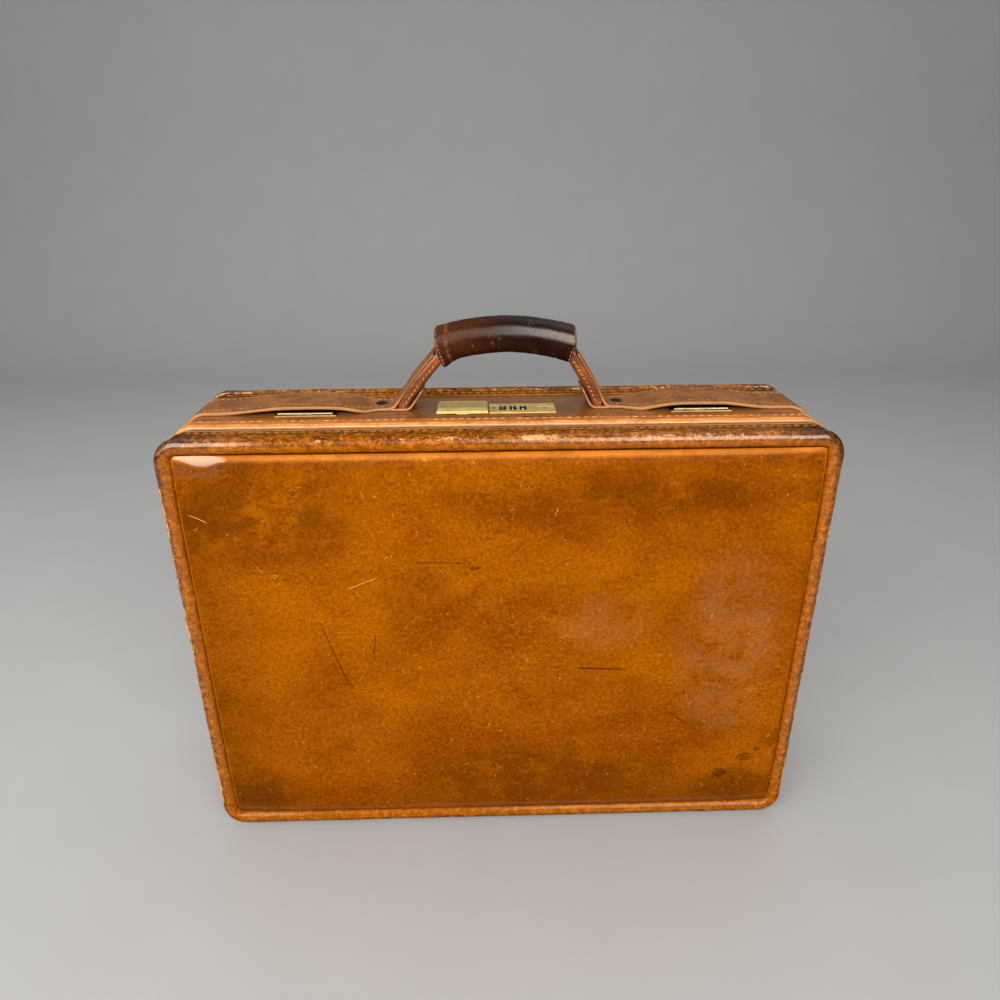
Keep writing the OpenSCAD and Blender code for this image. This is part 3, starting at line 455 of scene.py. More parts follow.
def make_worn_leather(name, slot, dark, middle, light, raw, size=1.0, depth=0.08, top=0.0,
                      dark_above_wall=0.0, **constants):
    """Leather whose marks `wear` and `edge` bring out raw tan, with painted shade in hollows; top
    paints its top face duller, a painted reflection, and a further share darkens it above the wall.
    """
    leather = Finish(name, slot, Specular_IOR_Level=0.06, **constants)
    clouds = leather.noise(24, 5.0, 0.66, None, 0.6)
    patches = leather.noise(5, 5.0, 0.75)
    grain = leather_grain(leather, size)
    # painted reflection: by the share top, the top face behind the front strip is painted duller
    # olive-brown, as the grey surroundings mirrored in it would make it
    painted_top_reflection = leather.z.step(330.0, 333.0) * leather.y.step(-9.0, -3.0) * top
    scratches = leather.lines(18, 0.005, 2.0) * leather.noise(10, 2.0).step(0.50, 0.60)
    wear = leather.mark("wear") * (leather.noise(4, 5.0, 0.75) * 0.9 + leather.noise(30, 3.0) * 0.6)
    colour = leather.layers(
        leather.mix(clouds.step(0.36, 0.62), dark, middle),
        (patches.step(0.48, 0.70) * 0.55, light),
        (grain.step(0.40, 0.65) * 0.30, dark),
        # painted reflection on the top face
        (painted_top_reflection, (116, 76, 40)),
        (scratches * 0.6, raw),
        (wear.step(0.30, 0.85) * 0.9, raw),
        (leather.mark("edge").step(0.35, 0.75) * 0.75, raw),
        # darker above the wall's top, by the share given
        (leather.z.step(337.0, 348.0) * dark_above_wall, (104, 56, 22)),
        # painted shade: places marked as hollows are painted near black
        (leather.mark("sunk").step(0.2, 0.9) * 0.85, (30, 15, 5)))
    rough = 0.36 + patches * 0.22 + wear.step(0.4, 0.8) * 0.12
    relief = grain * 0.6 - scratches * 0.5 + patches * 0.3
    return leather.paint(colour, rough, relief, depth)


def make_rim_leather():
    """Mottled leather with painted shade in the crease and where the roll turns in beside the panel,
    dark at the top corners, worn to raw tan where it rolls.
    """
    leather = Finish("rim_leather", "rim_leather", Coat_Roughness=0.17,
                     Specular_IOR_Level=0.0)
    clouds = leather.noise(26, 5.0, 0.68, None, 0.6)
    patches = leather.noise(4.4, 6.0, 0.74)
    flecks = leather.noise(1.5, 4.0, 0.7)
    inner, lap = leather.mark("inner"), leather.mark("lap")
    dark = patches.step(0.44, 0.60) * (0.85 - inner.step(0.0, 0.5) * 0.4)
    corner = leather.mark("corner") * patches.step(0.30, 0.52)
    left = leather.x.step(-150.0, -215.0) * 0.07
    wear = leather.mark("wear") * (leather.noise(6, 5.0, 0.82) + leather.noise(34, 3.0) - 0.5 + left)
    colour = leather.layers(
        leather.mix(clouds.step(0.36, 0.62), (122, 58, 4), (168, 88, 6)),
        (inner.step(0.0, 0.6) * 0.85, (180, 96, 6)),
        (lap * 0.8, (122, 74, 22)),
        (dark, (84, 40, 2)),
        (patches.step(0.48, 0.34) * 0.6, (214, 130, 20)),
        (flecks.step(0.54, 0.66) * 0.5, (232, 152, 44)),
        (corner * 0.9, (34, 21, 12)),
        (wear.step(0.53, 0.64), (226, 166, 96)),
        (leather.mark("edge").step(0.4, 0.8) * 0.6, (168, 104, 44)),
        # painted shade in the crease and where the roll turns in beside the panel
        (leather.mark("sunk").step(0.2, 0.9) * 0.85, (28, 14, 6)))
    rough = 0.34 + patches * 0.22 + wear.step(0.5, 0.7) * 0.2
    relief = leather_grain(leather, 0.8) * 0.4 + patches * 0.7 + clouds * 0.6
    bright = leather.x.step(-60.0, 110.0).most(leather.x.step(-150.0, -185.0))
    coat = (0.10 + bright * 0.6) * (0.3 + leather.z.step(20.0, 80.0) * 0.7)
    return leather.paint(colour, rough, relief, 0.14, coat=coat - lap * coat * 0.8)


def make_grip_leather():
    """Near-black leather, brown at its left end, with a shine above that grows to the right."""
    leather = Finish("grip_leather", "grip_leather", Coat_Roughness=0.2,
                     Specular_IOR_Level=0.02)
    clouds = leather.noise(30, 4.0, 0.6, (0.5, 1.0, 1.0), 0.4)
    patches = leather.noise(4, 5.0, 0.75)
    left = leather.x.step(10.0, -46.0) * clouds.step(0.25, 0.6)
    cracks = leather.lines(12, 0.012, 2.0, (1.0, 0.4, 0.4)) * leather.noise(9, 2.0).step(0.54, 0.62)
    worn = leather.mark("wear") * patches.step(0.42, 0.60)
    colour = leather.layers(
        leather.mix(clouds.step(0.35, 0.7), (26, 12, 8), (50, 23, 11)),
        (left * 0.7, (92, 44, 16)),
        (patches.step(0.50, 0.75) * 0.5, (24, 10, 7)),
        ((cracks * 0.5).most(worn), (176, 122, 78)),
        # painted shade: the grip's ends hidden in the legs are painted near black
        (leather.mark("sunk").step(0.2, 0.9), (16, 8, 5)))
    rough = 0.30 + patches * 0.2
    relief = leather_grain(leather, 0.9) * 0.3 - cracks + clouds
    centre_z = WALL_TOP + BEND_MID
    radius = ((leather.x - 4.5) ** 2.0 + (leather.z - centre_z) ** 2.0) ** 0.5
    above = (radius - GRIP_BEND).step(0.8, 3.6)
    towards_right = leather.x.step(-44.0, 50.0)
    shine = towards_right * (0.1 + towards_right * 0.9) * above * patches.step(0.2, 0.5)
    return leather.paint(colour, rough, relief, 0.10, coat=0.05 + shine * 0.5)


panel_leather = make_panel_leather()
rim_leather = make_rim_leather()
# top=0.8 gives the wall's top face its painted reflection
wall_leather = make_worn_leather(
    "wall_leather", "wall_leather", (126, 64, 9), (166, 91, 15), (100, 56, 15),
    (230, 160, 80), top=0.8, Coat_Weight=0.5, Coat_Roughness=0.2)
bead_leather = make_worn_leather(
    "bead_leather", "wall_leather", (172, 90, 10), (206, 118, 20), (138, 70, 12),
    (234, 164, 84), Coat_Weight=0.5, Coat_Roughness=0.25)
strap_leather = make_worn_leather(
    "strap_leather", "strap_leather", (124, 74, 28), (164, 104, 44), (104, 62, 26),
    (204, 148, 98), dark_above_wall=0.6, Coat_Weight=0.25, Coat_Roughness=0.25)
core_leather = make_worn_leather(
    "core_leather", "strap_leather", (112, 54, 12), (156, 82, 22), (84, 40, 10),
    (208, 140, 76), Coat_Weight=0.9, Coat_Roughness=0.2)
grip_leather = make_grip_leather()

# %% [markdown]
# ### Metal, thread, cloth and wood
# The lacquered brass has dulled: clouds of tarnish, fine lines from years of thumbs, and a sunk,
# pitted field in the release button. Linings are brushed suede, whose nap lies in soft patches.


# %% Finishes of the hard parts, the thread and the lining
ALONG_X = (0.05, 1.0, 1.0)
FIELD_LEFT, FIELD_BACK = 27.0, 6.0


def make_metal(name, slot, clean, dull, rough=0.18, metallic=1.0):
    """Metal brushed along x, with clouds of tarnish and small dark spots."""
    metal = Finish(name, slot, Metallic=metallic)
    tarnish = metal.noise(12, 4.0, 0.65)
    brush = metal.noise(0.5, 3.0, 0.6, ALONG_X)
    spots = metal.noise(2.2, 4.0, 0.7).step(0.62, 0.78)
    colour = metal.layers(clean, (tarnish.step(0.36, 0.66) * 0.8, dull), (spots * 0.5, (70, 56, 34)))
    shine = rough + tarnish * 0.2 + brush * 0.12 + spots * 0.2
    return metal.paint(colour, shine, brush * 0.5 + metal.lines(14, 0.01) * 0.5, 0.02)


def make_latch_metal():
    """Brass painted dark olive, for its tarnish and as painted shade from the straps over the
    latches, with a painted highlight along its front edges.
    """
    metal = Finish("shaded_latch_brass", "brass_plate", Metallic=1.0)
    tarnish = metal.noise(8, 4.0, 0.65)
    brush = metal.noise(0.5, 3.0, 0.6, ALONG_X)
    # painted highlight: the front edges are painted near white
    painted_edge_highlight = (metal.y.step(-6.1, -6.35) * 0.25).most(
        metal.y.step(-4.6, -4.9) * metal.z.step(334.6, 334.9))
    # dark olive: tarnish, and painted shade from the straps over the latches
    colour = metal.layers((150, 132, 78), (tarnish.step(0.36, 0.66), (104, 88, 46)),
                          (painted_edge_highlight * 0.9, (255, 244, 196)))
    return metal.paint(colour, 0.16 + tarnish * 0.15 + brush * 0.1, brush, 0.02)


def make_button_metal():
    """Brass with a recessed, pitted field in the middle of the button."""
    metal = Finish("button_brass", "brass_plate", Metallic=0.6)
    field = abs(metal.x + FIELD_LEFT).step(16.2, 15.4) * abs(metal.y - FIELD_BACK).step(8.1, 7.3)
    tarnish = metal.noise(7, 4.0, 0.65)
    pits = metal.cells(0.9)
    stained = field * metal.noise(3, 4.0, 0.7).step(0.5, 0.7)
    colour = metal.layers((240, 216, 140), (tarnish.step(0.3, 0.7) * 0.6, (206, 176, 100)),
                          (field * 0.5, (190, 168, 96)), (stained * 0.6, (96, 84, 52)))
    shine = 0.14 + tarnish * 0.1 + field * 0.2
    brush = metal.noise(0.6, 2.0, 0.5, (0.08, 1, 1))
    return metal.paint(colour, shine, field * pits + brush * 0.2, 0.10)


def make_suede():
    """Brushed suede: patches of nap, fine fibres, and painted shade in hollows."""
    suede = Finish("suede", "suede", Roughness=0.95, Sheen_Weight=0.35, Sheen_Roughness=0.5)
    nap = suede.noise(60, 4.0, 0.6, None, 0.15)
    fibre = suede.noise(0.9, 3.0, 0.7)
    colour = suede.layers((150, 122, 88), (nap.step(0.36, 0.64), (184, 156, 118)),
                          (fibre.step(0.4, 0.7) * 0.35, (122, 96, 66)),
                          # painted shade in marked hollows
                          (suede.mark("sunk").step(0.2, 0.9) * 0.6, (84, 62, 40)))
    return suede.paint(colour, None, fibre + nap * 0.5, 0.16)


def make_plain(name, slot, noise, span, first, second, depth, most=1.0, rough=None, **constants):
    """One noise mixes two colours over its span, roughens them and stands depth mm high."""
    finish = Finish(name, slot, **constants)
    pattern = finish.noise(*noise)
    if rough:
        rough = rough[0] + pattern * rough[1]
    colour = finish.mix(pattern.step(*span) * most, first, second)
    return finish.paint(colour, rough, pattern, depth)


def make_thread(name, clean, soiled):
    """Waxed thread; the mark `soil` makes each stitch a little cleaner or dirtier."""
    thread = Finish(name, None, Sheen_Weight=0.2)
    soil = thread.mark("soil") + thread.noise(18, 3.0) * 0.8 - 0.4
    ply = thread.noise(0.5, 2.0, 0.5)
    colour = thread.layers(clean, (soil.step(0.3, 1.2), soiled),
                           (ply.step(0.5, 0.8) * 0.25, (130, 88, 52)))
    return thread.paint(colour, 0.62 + ply * 0.2, ply, 0.06)


brass = make_metal("brass", "brass_plate", (232, 208, 140), (184, 156, 92))
shaded_latch_brass = make_latch_metal()
dull_brass = make_metal("dull_brass", "brass_plate", (240, 206, 118), (206, 172, 92), 0.2,
                        metallic=0.5)
button_brass = make_button_metal()
steel = make_metal("bright_steel", "bright_steel", (196, 194, 188), (150, 148, 142), 0.3)
dark_steel = make_metal("dark_steel", "dark_steel", (64, 62, 60), (40, 38, 38), 0.38)
suede = make_suede()
bentwood = make_plain("bentwood", "bentwood", (2.2, 4.0, 0.6, (0.05, 1.0, 0.05), 0.6), (0.35, 0.65),
                      (176, 138, 92), (206, 172, 124), 0.08, Roughness=0.55)
fibre_board = make_plain("fibre_board", "fibre_board", (3.0, 5.0, 0.75), (0.35, 0.7),
                         (104, 78, 50), (140, 108, 72), 0.1, Roughness=0.8)
dial_black = make_plain("dial_black", "black_dial", (2.0, 4.0, 0.7), (0.55, 0.75),
                        (22, 22, 22), (70, 66, 58), 0.02, 0.6, (0.35, 0.25), Coat_Weight=0.2)
number_ink = make_plain("number_ink", None, (0.8, 4.0, 0.7), (0.5, 0.75),
                        (222, 214, 190), (150, 140, 116), 0.01, rough=(0.5, 0.2))
thread = make_thread("thread", (222, 168, 104), (150, 98, 50))
old_thread = make_thread("old_thread", (176, 122, 66), (116, 72, 34))
print("finishes:", len(bpy.data.materials))

# %% [markdown]
# ### The CAD pieces that stay
# Hinge, stays, lock work and frames are already the right shape. They only take a finish.

# %% Give the CAD's own hard parts their finishes
KEPT = {
    bentwood: ["base_frame", "lid_frame"],
    fibre_board: ["base_board", "lid_board"],
    suede: ["base_lining", "lid_lining"],
    wall_leather: ["base_cover"],
    strap_leather: ["valance_strip"],
    button_brass: ["release_button"],
    dull_brass: ["combination_plate"],
    shaded_latch_brass: ["latch_bezel_left", "latch_bezel_right", "latch_slide_left",
                  "latch_slide_right"],
    brass: ["hinge_leaf_base", "hinge_leaf_lid", "base_feet", "lid_feet", "stay_brackets_base",
            "stay_brackets_lid", "stay_arm_base_left", "stay_arm_base_right",
            "stay_arm_lid_left", "stay_arm_lid_right"],
    steel: ["hinge_pin", "hinge_screws_base", "hinge_screws_lid", "plate_pins", "dial_axle",
            "lock_case", "bar_guides", "release_bar", "strike_left", "strike_right"],
    dark_steel: ["strap_rivets", "lock_rivets", "mechanism_cover"],
    dial_black: ["dial_1", "dial_2", "dial_3"],
}
for finish, names in KEPT.items():
    for name in names:
        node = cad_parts[name]
        node.data.materials.clear()
        node.data.materials.append(finish.material)
print("CAD pieces kept:", sum(len(names) for names in KEPT.values()))

# %% [markdown]
# ### The return spring
# A spring has to close up when the bar slides, and a stiff CAD piece can't.

# %% Draw the spring
SPRING_X, SPRING_RUN, SPRING_R, WIRE_R, COILS = -57.45, 16.9, 2.2, 0.4, 7
SPRING_Y, SPRING_Z, BAR_STROKE = -10.5, 317.3, 8.0


def make_spring():
    """A wire of circular section along (x, y, z) = (run * t, R cos 2 pi n t, R sin 2 pi n t)."""
    t = np.linspace(0, 1, COILS * 16 + 1)[:, None]
    round_wire = np.linspace(0, 2 * np.pi, 8, endpoint=False)[None]
    turn = 2 * np.pi * COILS * t
    radius = SPRING_R + WIRE_R * np.sin(round_wire)
    x = SPRING_X + SPRING_RUN * t + WIRE_R * np.cos(round_wire)
    points, faces = capped_tube(join(x, radius * np.cos(turn), radius * np.sin(turn)))
    points = points + [0.0, SPRING_Y, SPRING_Z]
    spring = make_piece("coil_spring", points * MM, faces, steel, None, "base", ["return_spring"])
    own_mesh(spring)
    return spring


print("spring, CAD and drawn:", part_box("return_spring"), make_spring().dimensions[:])

# %% [markdown]
# ## Stitches
# A stitch is a short loop of waxed thread whose ends dip into the leather. One small capsule is
# copied to every place of a row by array arithmetic, each turned a little, as an awl leaves it.
# Stitches near a joint ride with their own strip.


# %% Sew a row of stitches along a path
def evenly(path, pitch, closed=False):
    """Places every pitch along a path (n, 3) of mm, with the path's direction at each."""
    if closed:
        path = np.concatenate([path, path[:1]])
    run = run_of(path)
    count = max(int(run[-1] / pitch), 2)
    at = (np.arange(count) + 0.5) * run[-1] / count
    ahead = np.minimum(at + 0.4, run[-1])
    behind = np.maximum(at - 0.4, 0)
    pick = [np.stack([np.interp(s, run, path[:, k]) for k in range(3)], -1)
            for s in (at, ahead, behind)]
    return pick[0], unit(pick[1] - pick[2])


def sew(name, path, outward, body=None, pitch=5.8, length=3.7, thick=0.85, slant=6.0,
        closed=False, seed=1, finish=thread):
    """Rows of capsules: radius thick/2 * sqrt(1 - 0.92 t^2), their ends dipping with t^6."""
    at, along = evenly(path, pitch, closed)
    outward = unit(outward(at) if callable(outward) else np.broadcast_to(outward, at.shape))
    side = unit(np.cross(outward, along))
    rng = np.random.default_rng(seed)
    turn = np.radians(slant + rng.normal(0, 2.5, len(at)))[:, None]
    lean = along * np.cos(turn) + side * np.sin(turn)
    side = side * np.cos(turn) - along * np.sin(turn)
    t = np.array([-1.0, -0.82, -0.3, 0.3, 0.82, 1.0])[:, None]
    angle = np.linspace(0, 2 * np.pi, 6, endpoint=False)
    radius = thick / 2 * np.sqrt(1 - 0.92 * t ** 2)
    rise = thick * 0.3 - thick * 0.6 * t ** 6
    one, faces = capped_tube(join(t * length / 2, radius * np.cos(angle),
                                  rise + radius * np.sin(angle)))
    points = (at[:, None] + one[:, :1] * lean[:, None] + one[:, 1:2] * side[:, None]
              + one[:, 2:] * outward[:, None])
    every = []
    for corners in (4, 3):
        few = np.array([f for f in faces if len(f) == corners])
        every += (few + np.arange(len(at))[:, None, None] * len(one)).reshape(-1, corners).tolist()
    soil = np.repeat(rng.uniform(0, 1, len(at)), len(one))
    return make_piece(name, place(*np.moveaxis(points, -1, 0)), every, finish, {"soil": soil}, body)


# %% [markdown]
# ## Padded panels
# Front and back are leather drawn over felt and board. The panel stands in a groove inside its
# rim: a steep soft shoulder, then a slow crown that sinks towards the corners. The height is
# `edge + crown * sqrt(1 - exp(-s / soft))`, where `s` is the distance to the panel's outline.
# The shoulder is softer along the top and bottom, its upper left corner has sunk, and slow
# waves give the unevenness of an old hide.

# %% Front and back panels
PANEL_W, PANEL_H, PANEL_R = 217.3, 155.3, 4.6
PANEL_SEAT, PANEL_EDGE, PANEL_CROWN = 8.0, 3.7, 5.2
SHOULDER, SOFTER_TOP, CORNER_RUN, EDGE_RUN = 1.5, 1.7, 26, 12
SAG_X, SAG_W, SAG_SLOPE, SAG_BOWL = -201, 16, 0.36, 1.3
CLOSE_X = [-1.0, -0.9985, -0.9955, -0.991, -0.985, -0.977, -0.967]
CLOSE_Z = [-1.0, -0.998, -0.994, -0.988, -0.980, -0.969, -0.955]


def panel_outline(across, upward):
    """A square grid pulled to a rounded rectangle: only the corner squares bend."""
    x, z = across * PANEL_W, upward * PANEL_H
    px = limit((np.abs(x) - (PANEL_W - PANEL_R)) / PANEL_R)
    pz = limit((np.abs(z) - (PANEL_H - PANEL_R)) / PANEL_R)
    bent_x = px * np.sqrt(1 - pz ** 2 / 2)
    bent_z = pz * np.sqrt(1 - px ** 2 / 2)
    x = np.sign(x) * np.where(px > 0, PANEL_W - PANEL_R + PANEL_R * bent_x, np.abs(x))
    z = np.sign(z) * np.where(pz > 0, PANEL_H - PANEL_R + PANEL_R * bent_z, np.abs(z))
    return x, z


def closer_at_ends(count, close):
    """Places from -1 to 1 that lie close together at both ends, where the shoulder turns."""
    close = np.array(close)
    middle = np.linspace(close[-1], -close[-1], count - 2 * (len(close) - 1))
    return np.concatenate([close[:-1], middle, -close[::-1][1:]])


def make_panel(name, node, body, side, seed):
    """side is 1 for the front, whose crown points to -Y, and -1 for the back.

    The lowered corner is a slope in x^2 and z that the crown is kept under, with a soft edge:
    the smaller of two heights is h - (d + sqrt(d^2 + 0.1)) / 2, where d is their difference.
    """
    x, z = panel_outline(*np.meshgrid(closer_at_ends(231, CLOSE_X), closer_at_ends(171, CLOSE_Z)))
    qx, qz = np.abs(x) - (PANEL_W - PANEL_R), np.abs(z) - (PANEL_H - PANEL_R)
    inset = PANEL_R - np.hypot(np.maximum(qx, 0), np.maximum(qz, 0)) - np.minimum(
        np.maximum(qx, qz), 0)
    inset = np.maximum(inset, 0)
    to_corner = (PANEL_W - np.abs(x)) + (PANEL_H - np.abs(z))
    along_top = 1 / (1 + np.exp(-(qz - qx) / 5))
    soft = SHOULDER + SOFTER_TOP * along_top
    height = PANEL_EDGE + PANEL_CROWN * np.sqrt(1 - np.exp(-inset / soft)) * (
        1 - 0.85 * np.exp(-to_corner / CORNER_RUN))
    slope = PANEL_EDGE + 0.5 + SAG_SLOPE * (PANEL_H - z) + SAG_BOWL * ((x - SAG_X) / SAG_W) ** 2
    over = height - slope
    height = height - np.where(z > 0, 0.5 * (over + np.sqrt(over ** 2 + 0.1)), 0)
    inner = 1 - np.exp(-inset / EDGE_RUN)
    height += inner * uneven(join(x, z), seed, (0.22, 150), (0.10, 45), (0.03, 16)) - 0.25 * inner
    crown = join(x, PANEL_SEAT - height, z + MID_Z).reshape(-1, 3)
    ring = border(*x.shape)
    walls = [crown[ring] * [1, 0, 1] + [0, PANEL_SEAT - PANEL_EDGE + drop, 0] for drop in (1.2, 3.6)]
    points = np.concatenate([crown] + walls + [np.array([[0, PANEL_SEAT - 0.1, MID_Z]])])
    faces = lattice(*x.shape)
    for k in range(len(walls)):
        lower = len(crown) + k * len(ring) + np.arange(len(ring))
        faces += band(ring, lower)
        ring = lower
    faces += fan(ring, len(points) - 1)
    depth = points[:, 1] if side > 0 else CASE_D - points[:, 1]
    panel = make_piece(name, place(points[:, 0], depth, points[:, 2]), faces, panel_leather,
                       None, body, [node])
    print(name, "crown stands to", round(float(points[:, 1].min()), 2), "mm")
    return panel


make_panel("front_padded_panel", "front_panel", "lid", side=1, seed=11)
make_panel("back_padded_panel", "back_panel", "base", side=-1, seed=23)

# %% [markdown]
# ## Rims, lid wall and bead
# Round the case run four strips: the rolled rim with its stitched lap, front and back, the
# lid's narrow wall, and the body's edge with its bead. Each is one profile of (inset, depth)
# carried round the rounded rectangle. Slow waves make the roll thick and thin, and where a
# strip would meet the hinge's knuckles its points are pushed out of their round room.


# %% Carry a profile round the case
def round_the_case(step=3.0, corner_steps=18):
    """Points on the case's outline (x, z about its middle) with their outward directions."""
    at, out = [], []
    for k in range(4):
        turn = k * np.pi / 2
        normal = np.array([np.cos(turn), np.sin(turn)])
        along = np.array([-np.sin(turn), np.cos(turn)])
        reach, run = (CASE_W / 2, CASE_H / 2) if k % 2 == 0 else (CASE_H / 2, CASE_W / 2)
        run -= CORNER
        t = np.linspace(-run, run, int(2 * run / step), endpoint=False)[:, None]
        at.append(reach * normal + t * along)
        out.append(np.repeat(normal[None], len(t), 0))
        angle = turn + np.linspace(0, np.pi / 2, corner_steps, endpoint=False)[:, None]
        outward = np.concatenate([np.cos(angle), np.sin(angle)], 1)
        at.append((reach - CORNER) * normal + run * along + CORNER * outward)
        out.append(outward)
    return np.concatenate(at), np.concatenate(out)


AROUND, OUTWARD = round_the_case()
print("points round the case:", len(AROUND))


def clear_of_knuckles(points):
    """Moves points of (x, depth, z) that lie in the knuckles' room out to its edge."""
    middle = np.array([HINGE_DEPTH, HINGE_Z])
    off = points[..., 1:] - middle
    reach = np.linalg.norm(off, axis=-1, keepdims=True)
    inside = (reach < KNUCKLE_ROOM) & (np.abs(points[..., :1]) < KNUCKLES_END)
    pushed = middle + unit(off) * KNUCKLE_ROOM
    return np.concatenate([points[..., :1], np.where(inside, pushed, points[..., 1:])], -1)


def carry_round(profile):
    """Carries a closed profile of (inset, depth) round the case."""
    inset = profile[:, 0]
    x = AROUND[:, None, 0] - OUTWARD[:, None, 0] * inset
    z = MID_Z + AROUND[:, None, 1] - OUTWARD[:, None, 1] * inset
    return join(x, profile[:, 1], z)


def push_out(points, push):
    """Moves points carried round the case outward by so many mm."""
    points[..., 0] += OUTWARD[:, None, 0] * push
    points[..., 2] += OUTWARD[:, None, 1] * push


def make_strip(name, points, finish, marks, body, node):
    """A closed strip round the case; a mark is one row for the profile, or a value per point."""
    every = {mark: np.ones(points.shape[:2]) * values for mark, values in marks.items()}
    return make_piece(name, place(*points.reshape(-1, 3).T), lattice(*points.shape[:2], True, True),
                      finish, every, body, [node])


def row_round(inset, depth):
    """The path of a row of stitches round the case, and what points outward from it."""
    path = carry_round(np.array([[inset, depth]]))[:, 0]

    def outward(at):
        corner_x = np.clip(at[:, 0], -(CASE_W / 2 - CORNER), CASE_W / 2 - CORNER)
        corner_z = np.clip(at[:, 2] - MID_Z, -(CASE_H / 2 - CORNER), CASE_H / 2 - CORNER)
        return join(at[:, 0] - corner_x, 0.0, at[:, 2] - MID_Z - corner_z)
    return path, outward


# %% Rolled rims with stitched laps
RIM_R = 5.5
CREASE = 10.2
RIM_ROW = 17.4
LAP_END = 22.0
ROW_INSET, BEAD_ROW = 1.2, 41.8
BEAD_R, BEAD_AT = 3.5, 34.5


def make_rim_points():
    """Profile (inset, depth): a roll (R + R cos a, R - R sin a), a lap on the wall, and under."""
    turn = np.radians(np.linspace(-27, 222, 36))
    inset = RIM_R + RIM_R * np.cos(turn)
    depth = RIM_R - RIM_R * np.sin(turn)
    roll = join(inset, depth)
    lap_depth = np.array([10.2, 10.9, 11.6, 12.6, 14.5, 16.2, 16.8, 17.4, 18.0, 18.6, 20.2, 21.2,
                          21.8, 22.0])
    lap_inset = np.array([2.1, 1.75, 1.3, 1.15, 1.15, 1.2, 1.4, 1.5, 1.4, 1.2, 1.15, 1.2,
                          1.5, 2.0])
    lap = join(lap_inset, lap_depth)
    under = np.array([[2.52, 22.0], [2.52, 16.0], [2.6, 11.5], [4.05, 9.0], [4.05, 8.02],
                      [7.0, 8.02]])
    return np.concatenate([roll, lap, under]), len(roll)


def rim_marks(profile, roll_count):
    """Marks on every point: wear on the outer roll, the orange inner side, dark top corners."""
    inset, depth = profile[:, 0], profile[:, 1]
    on_roll = np.arange(len(profile)) < roll_count
    wear = np.where(on_roll, bell(inset - 1.6, 2.6), 0.45 * (inset < 2.2))
    inner = np.where(on_roll, limit((inset - 3.5) / 4.5), 0.0)
    lap = limit((depth - 8.5) / 2.0) * (inset < 3)
    # painted shade: the crease behind the roll, and the roll's inner side where it turns in beside
    # the panel
    sunk = bell(depth - CREASE, 0.7) * (inset < 3) + np.where(
        on_roll & (inset > 8.5), limit((depth - 4.8) / 1.6), 0)
    edge = bell(depth - LAP_END, 0.35) * (inset < 2.4)
    x, z = AROUND[:, 0], AROUND[:, 1]
    near = np.hypot(np.abs(x) - (CASE_W - CORNER) / 2, np.minimum(z - (CASE_H - CORNER) / 2, 40))
    corner = limit(1.5 - near / 26)[:, None] * limit(1 - inset / 8.5)[None]
    return {"wear": wear, "inner": inner, "sunk": sunk, "edge": edge, "lap": lap, "corner": corner}


def make_rim(name, node, body, side, seed):
    """The rim's profile carried round; waves and squarer inner corners push it outward."""
    profile, roll_count = make_rim_points()
    inset, depth = profile.T
    points = carry_round(profile)
    bulge = uneven(points, seed, (0.16, 22), (0.10, 8))
    share = limit(1 - np.abs(depth - 4) / 8) * (np.arange(len(profile)) < roll_count)
    at_corners = (2 * OUTWARD[:, :1] * OUTWARD[:, 1:]) ** 2
    push = (bulge - 0.12) * share + 1.1 * at_corners * limit((inset - 5.5) / 5)
    push_out(points, push)
    points[..., 1] = np.maximum(points[..., 1] - 0.5 * push, 0.0)
    if side < 0:
        points[..., 1] = CASE_D - points[..., 1]
    rim = make_strip(name, points, rim_leather, rim_marks(profile, roll_count), body, node)
    path, outward = row_round(ROW_INSET, RIM_ROW)
    if side < 0:
        path[:, 1] = CASE_D - path[:, 1]
    sew(name + "_stitches", path, outward, body, closed=True, seed=seed, finish=old_thread)
    return rim


make_rim("front_rolled_rim", "front_rim", "lid", side=1, seed=31)
make_rim("back_rolled_rim", "back_rim", "base", side=-1, seed=47)
print("rims: roll radius", RIM_R, "mm, lap to", LAP_END, "mm from the face")

# %% Lid wall and the body's bead
def make_lid_wall():
    """Profile (inset, depth) of the lid's leather: along the wall, then in at the parting."""
    profile = np.array([[2.5, 9.0], [2.5, 14.0], [2.5, 20.0], [2.5, 22.0], [2.5, 24.0],
                        [2.48, 26.0], [2.5, 27.6], [2.62, 28.4], [2.95, 28.85], [3.5, 29.0],
                        [4.5, 29.0], [6.0, 29.0], [7.5, 29.0], [9.0, 29.0], [10.5, 29.0],
                        [12.0, 29.0], [12.5, 28.6], [12.5, 27.6], [10.5, 27.52], [8.0, 27.52],
                        [5.0, 27.52], [4.0, 27.4], [4.0, 20.0], [4.0, 9.0]])
    inset, depth = profile.T
    edge = (np.abs(depth - 27.2) < 0.5) * (inset < 3.2) * 0.4
    # painted shade at the parting
    marks = {"edge": edge, "wear": edge * 1.5, "sunk": limit((depth - 27.7) / 0.6)}
    return make_strip("lid_wall", clear_of_knuckles(carry_round(profile)), bead_leather, marks,
                      "lid", "lid_cover")


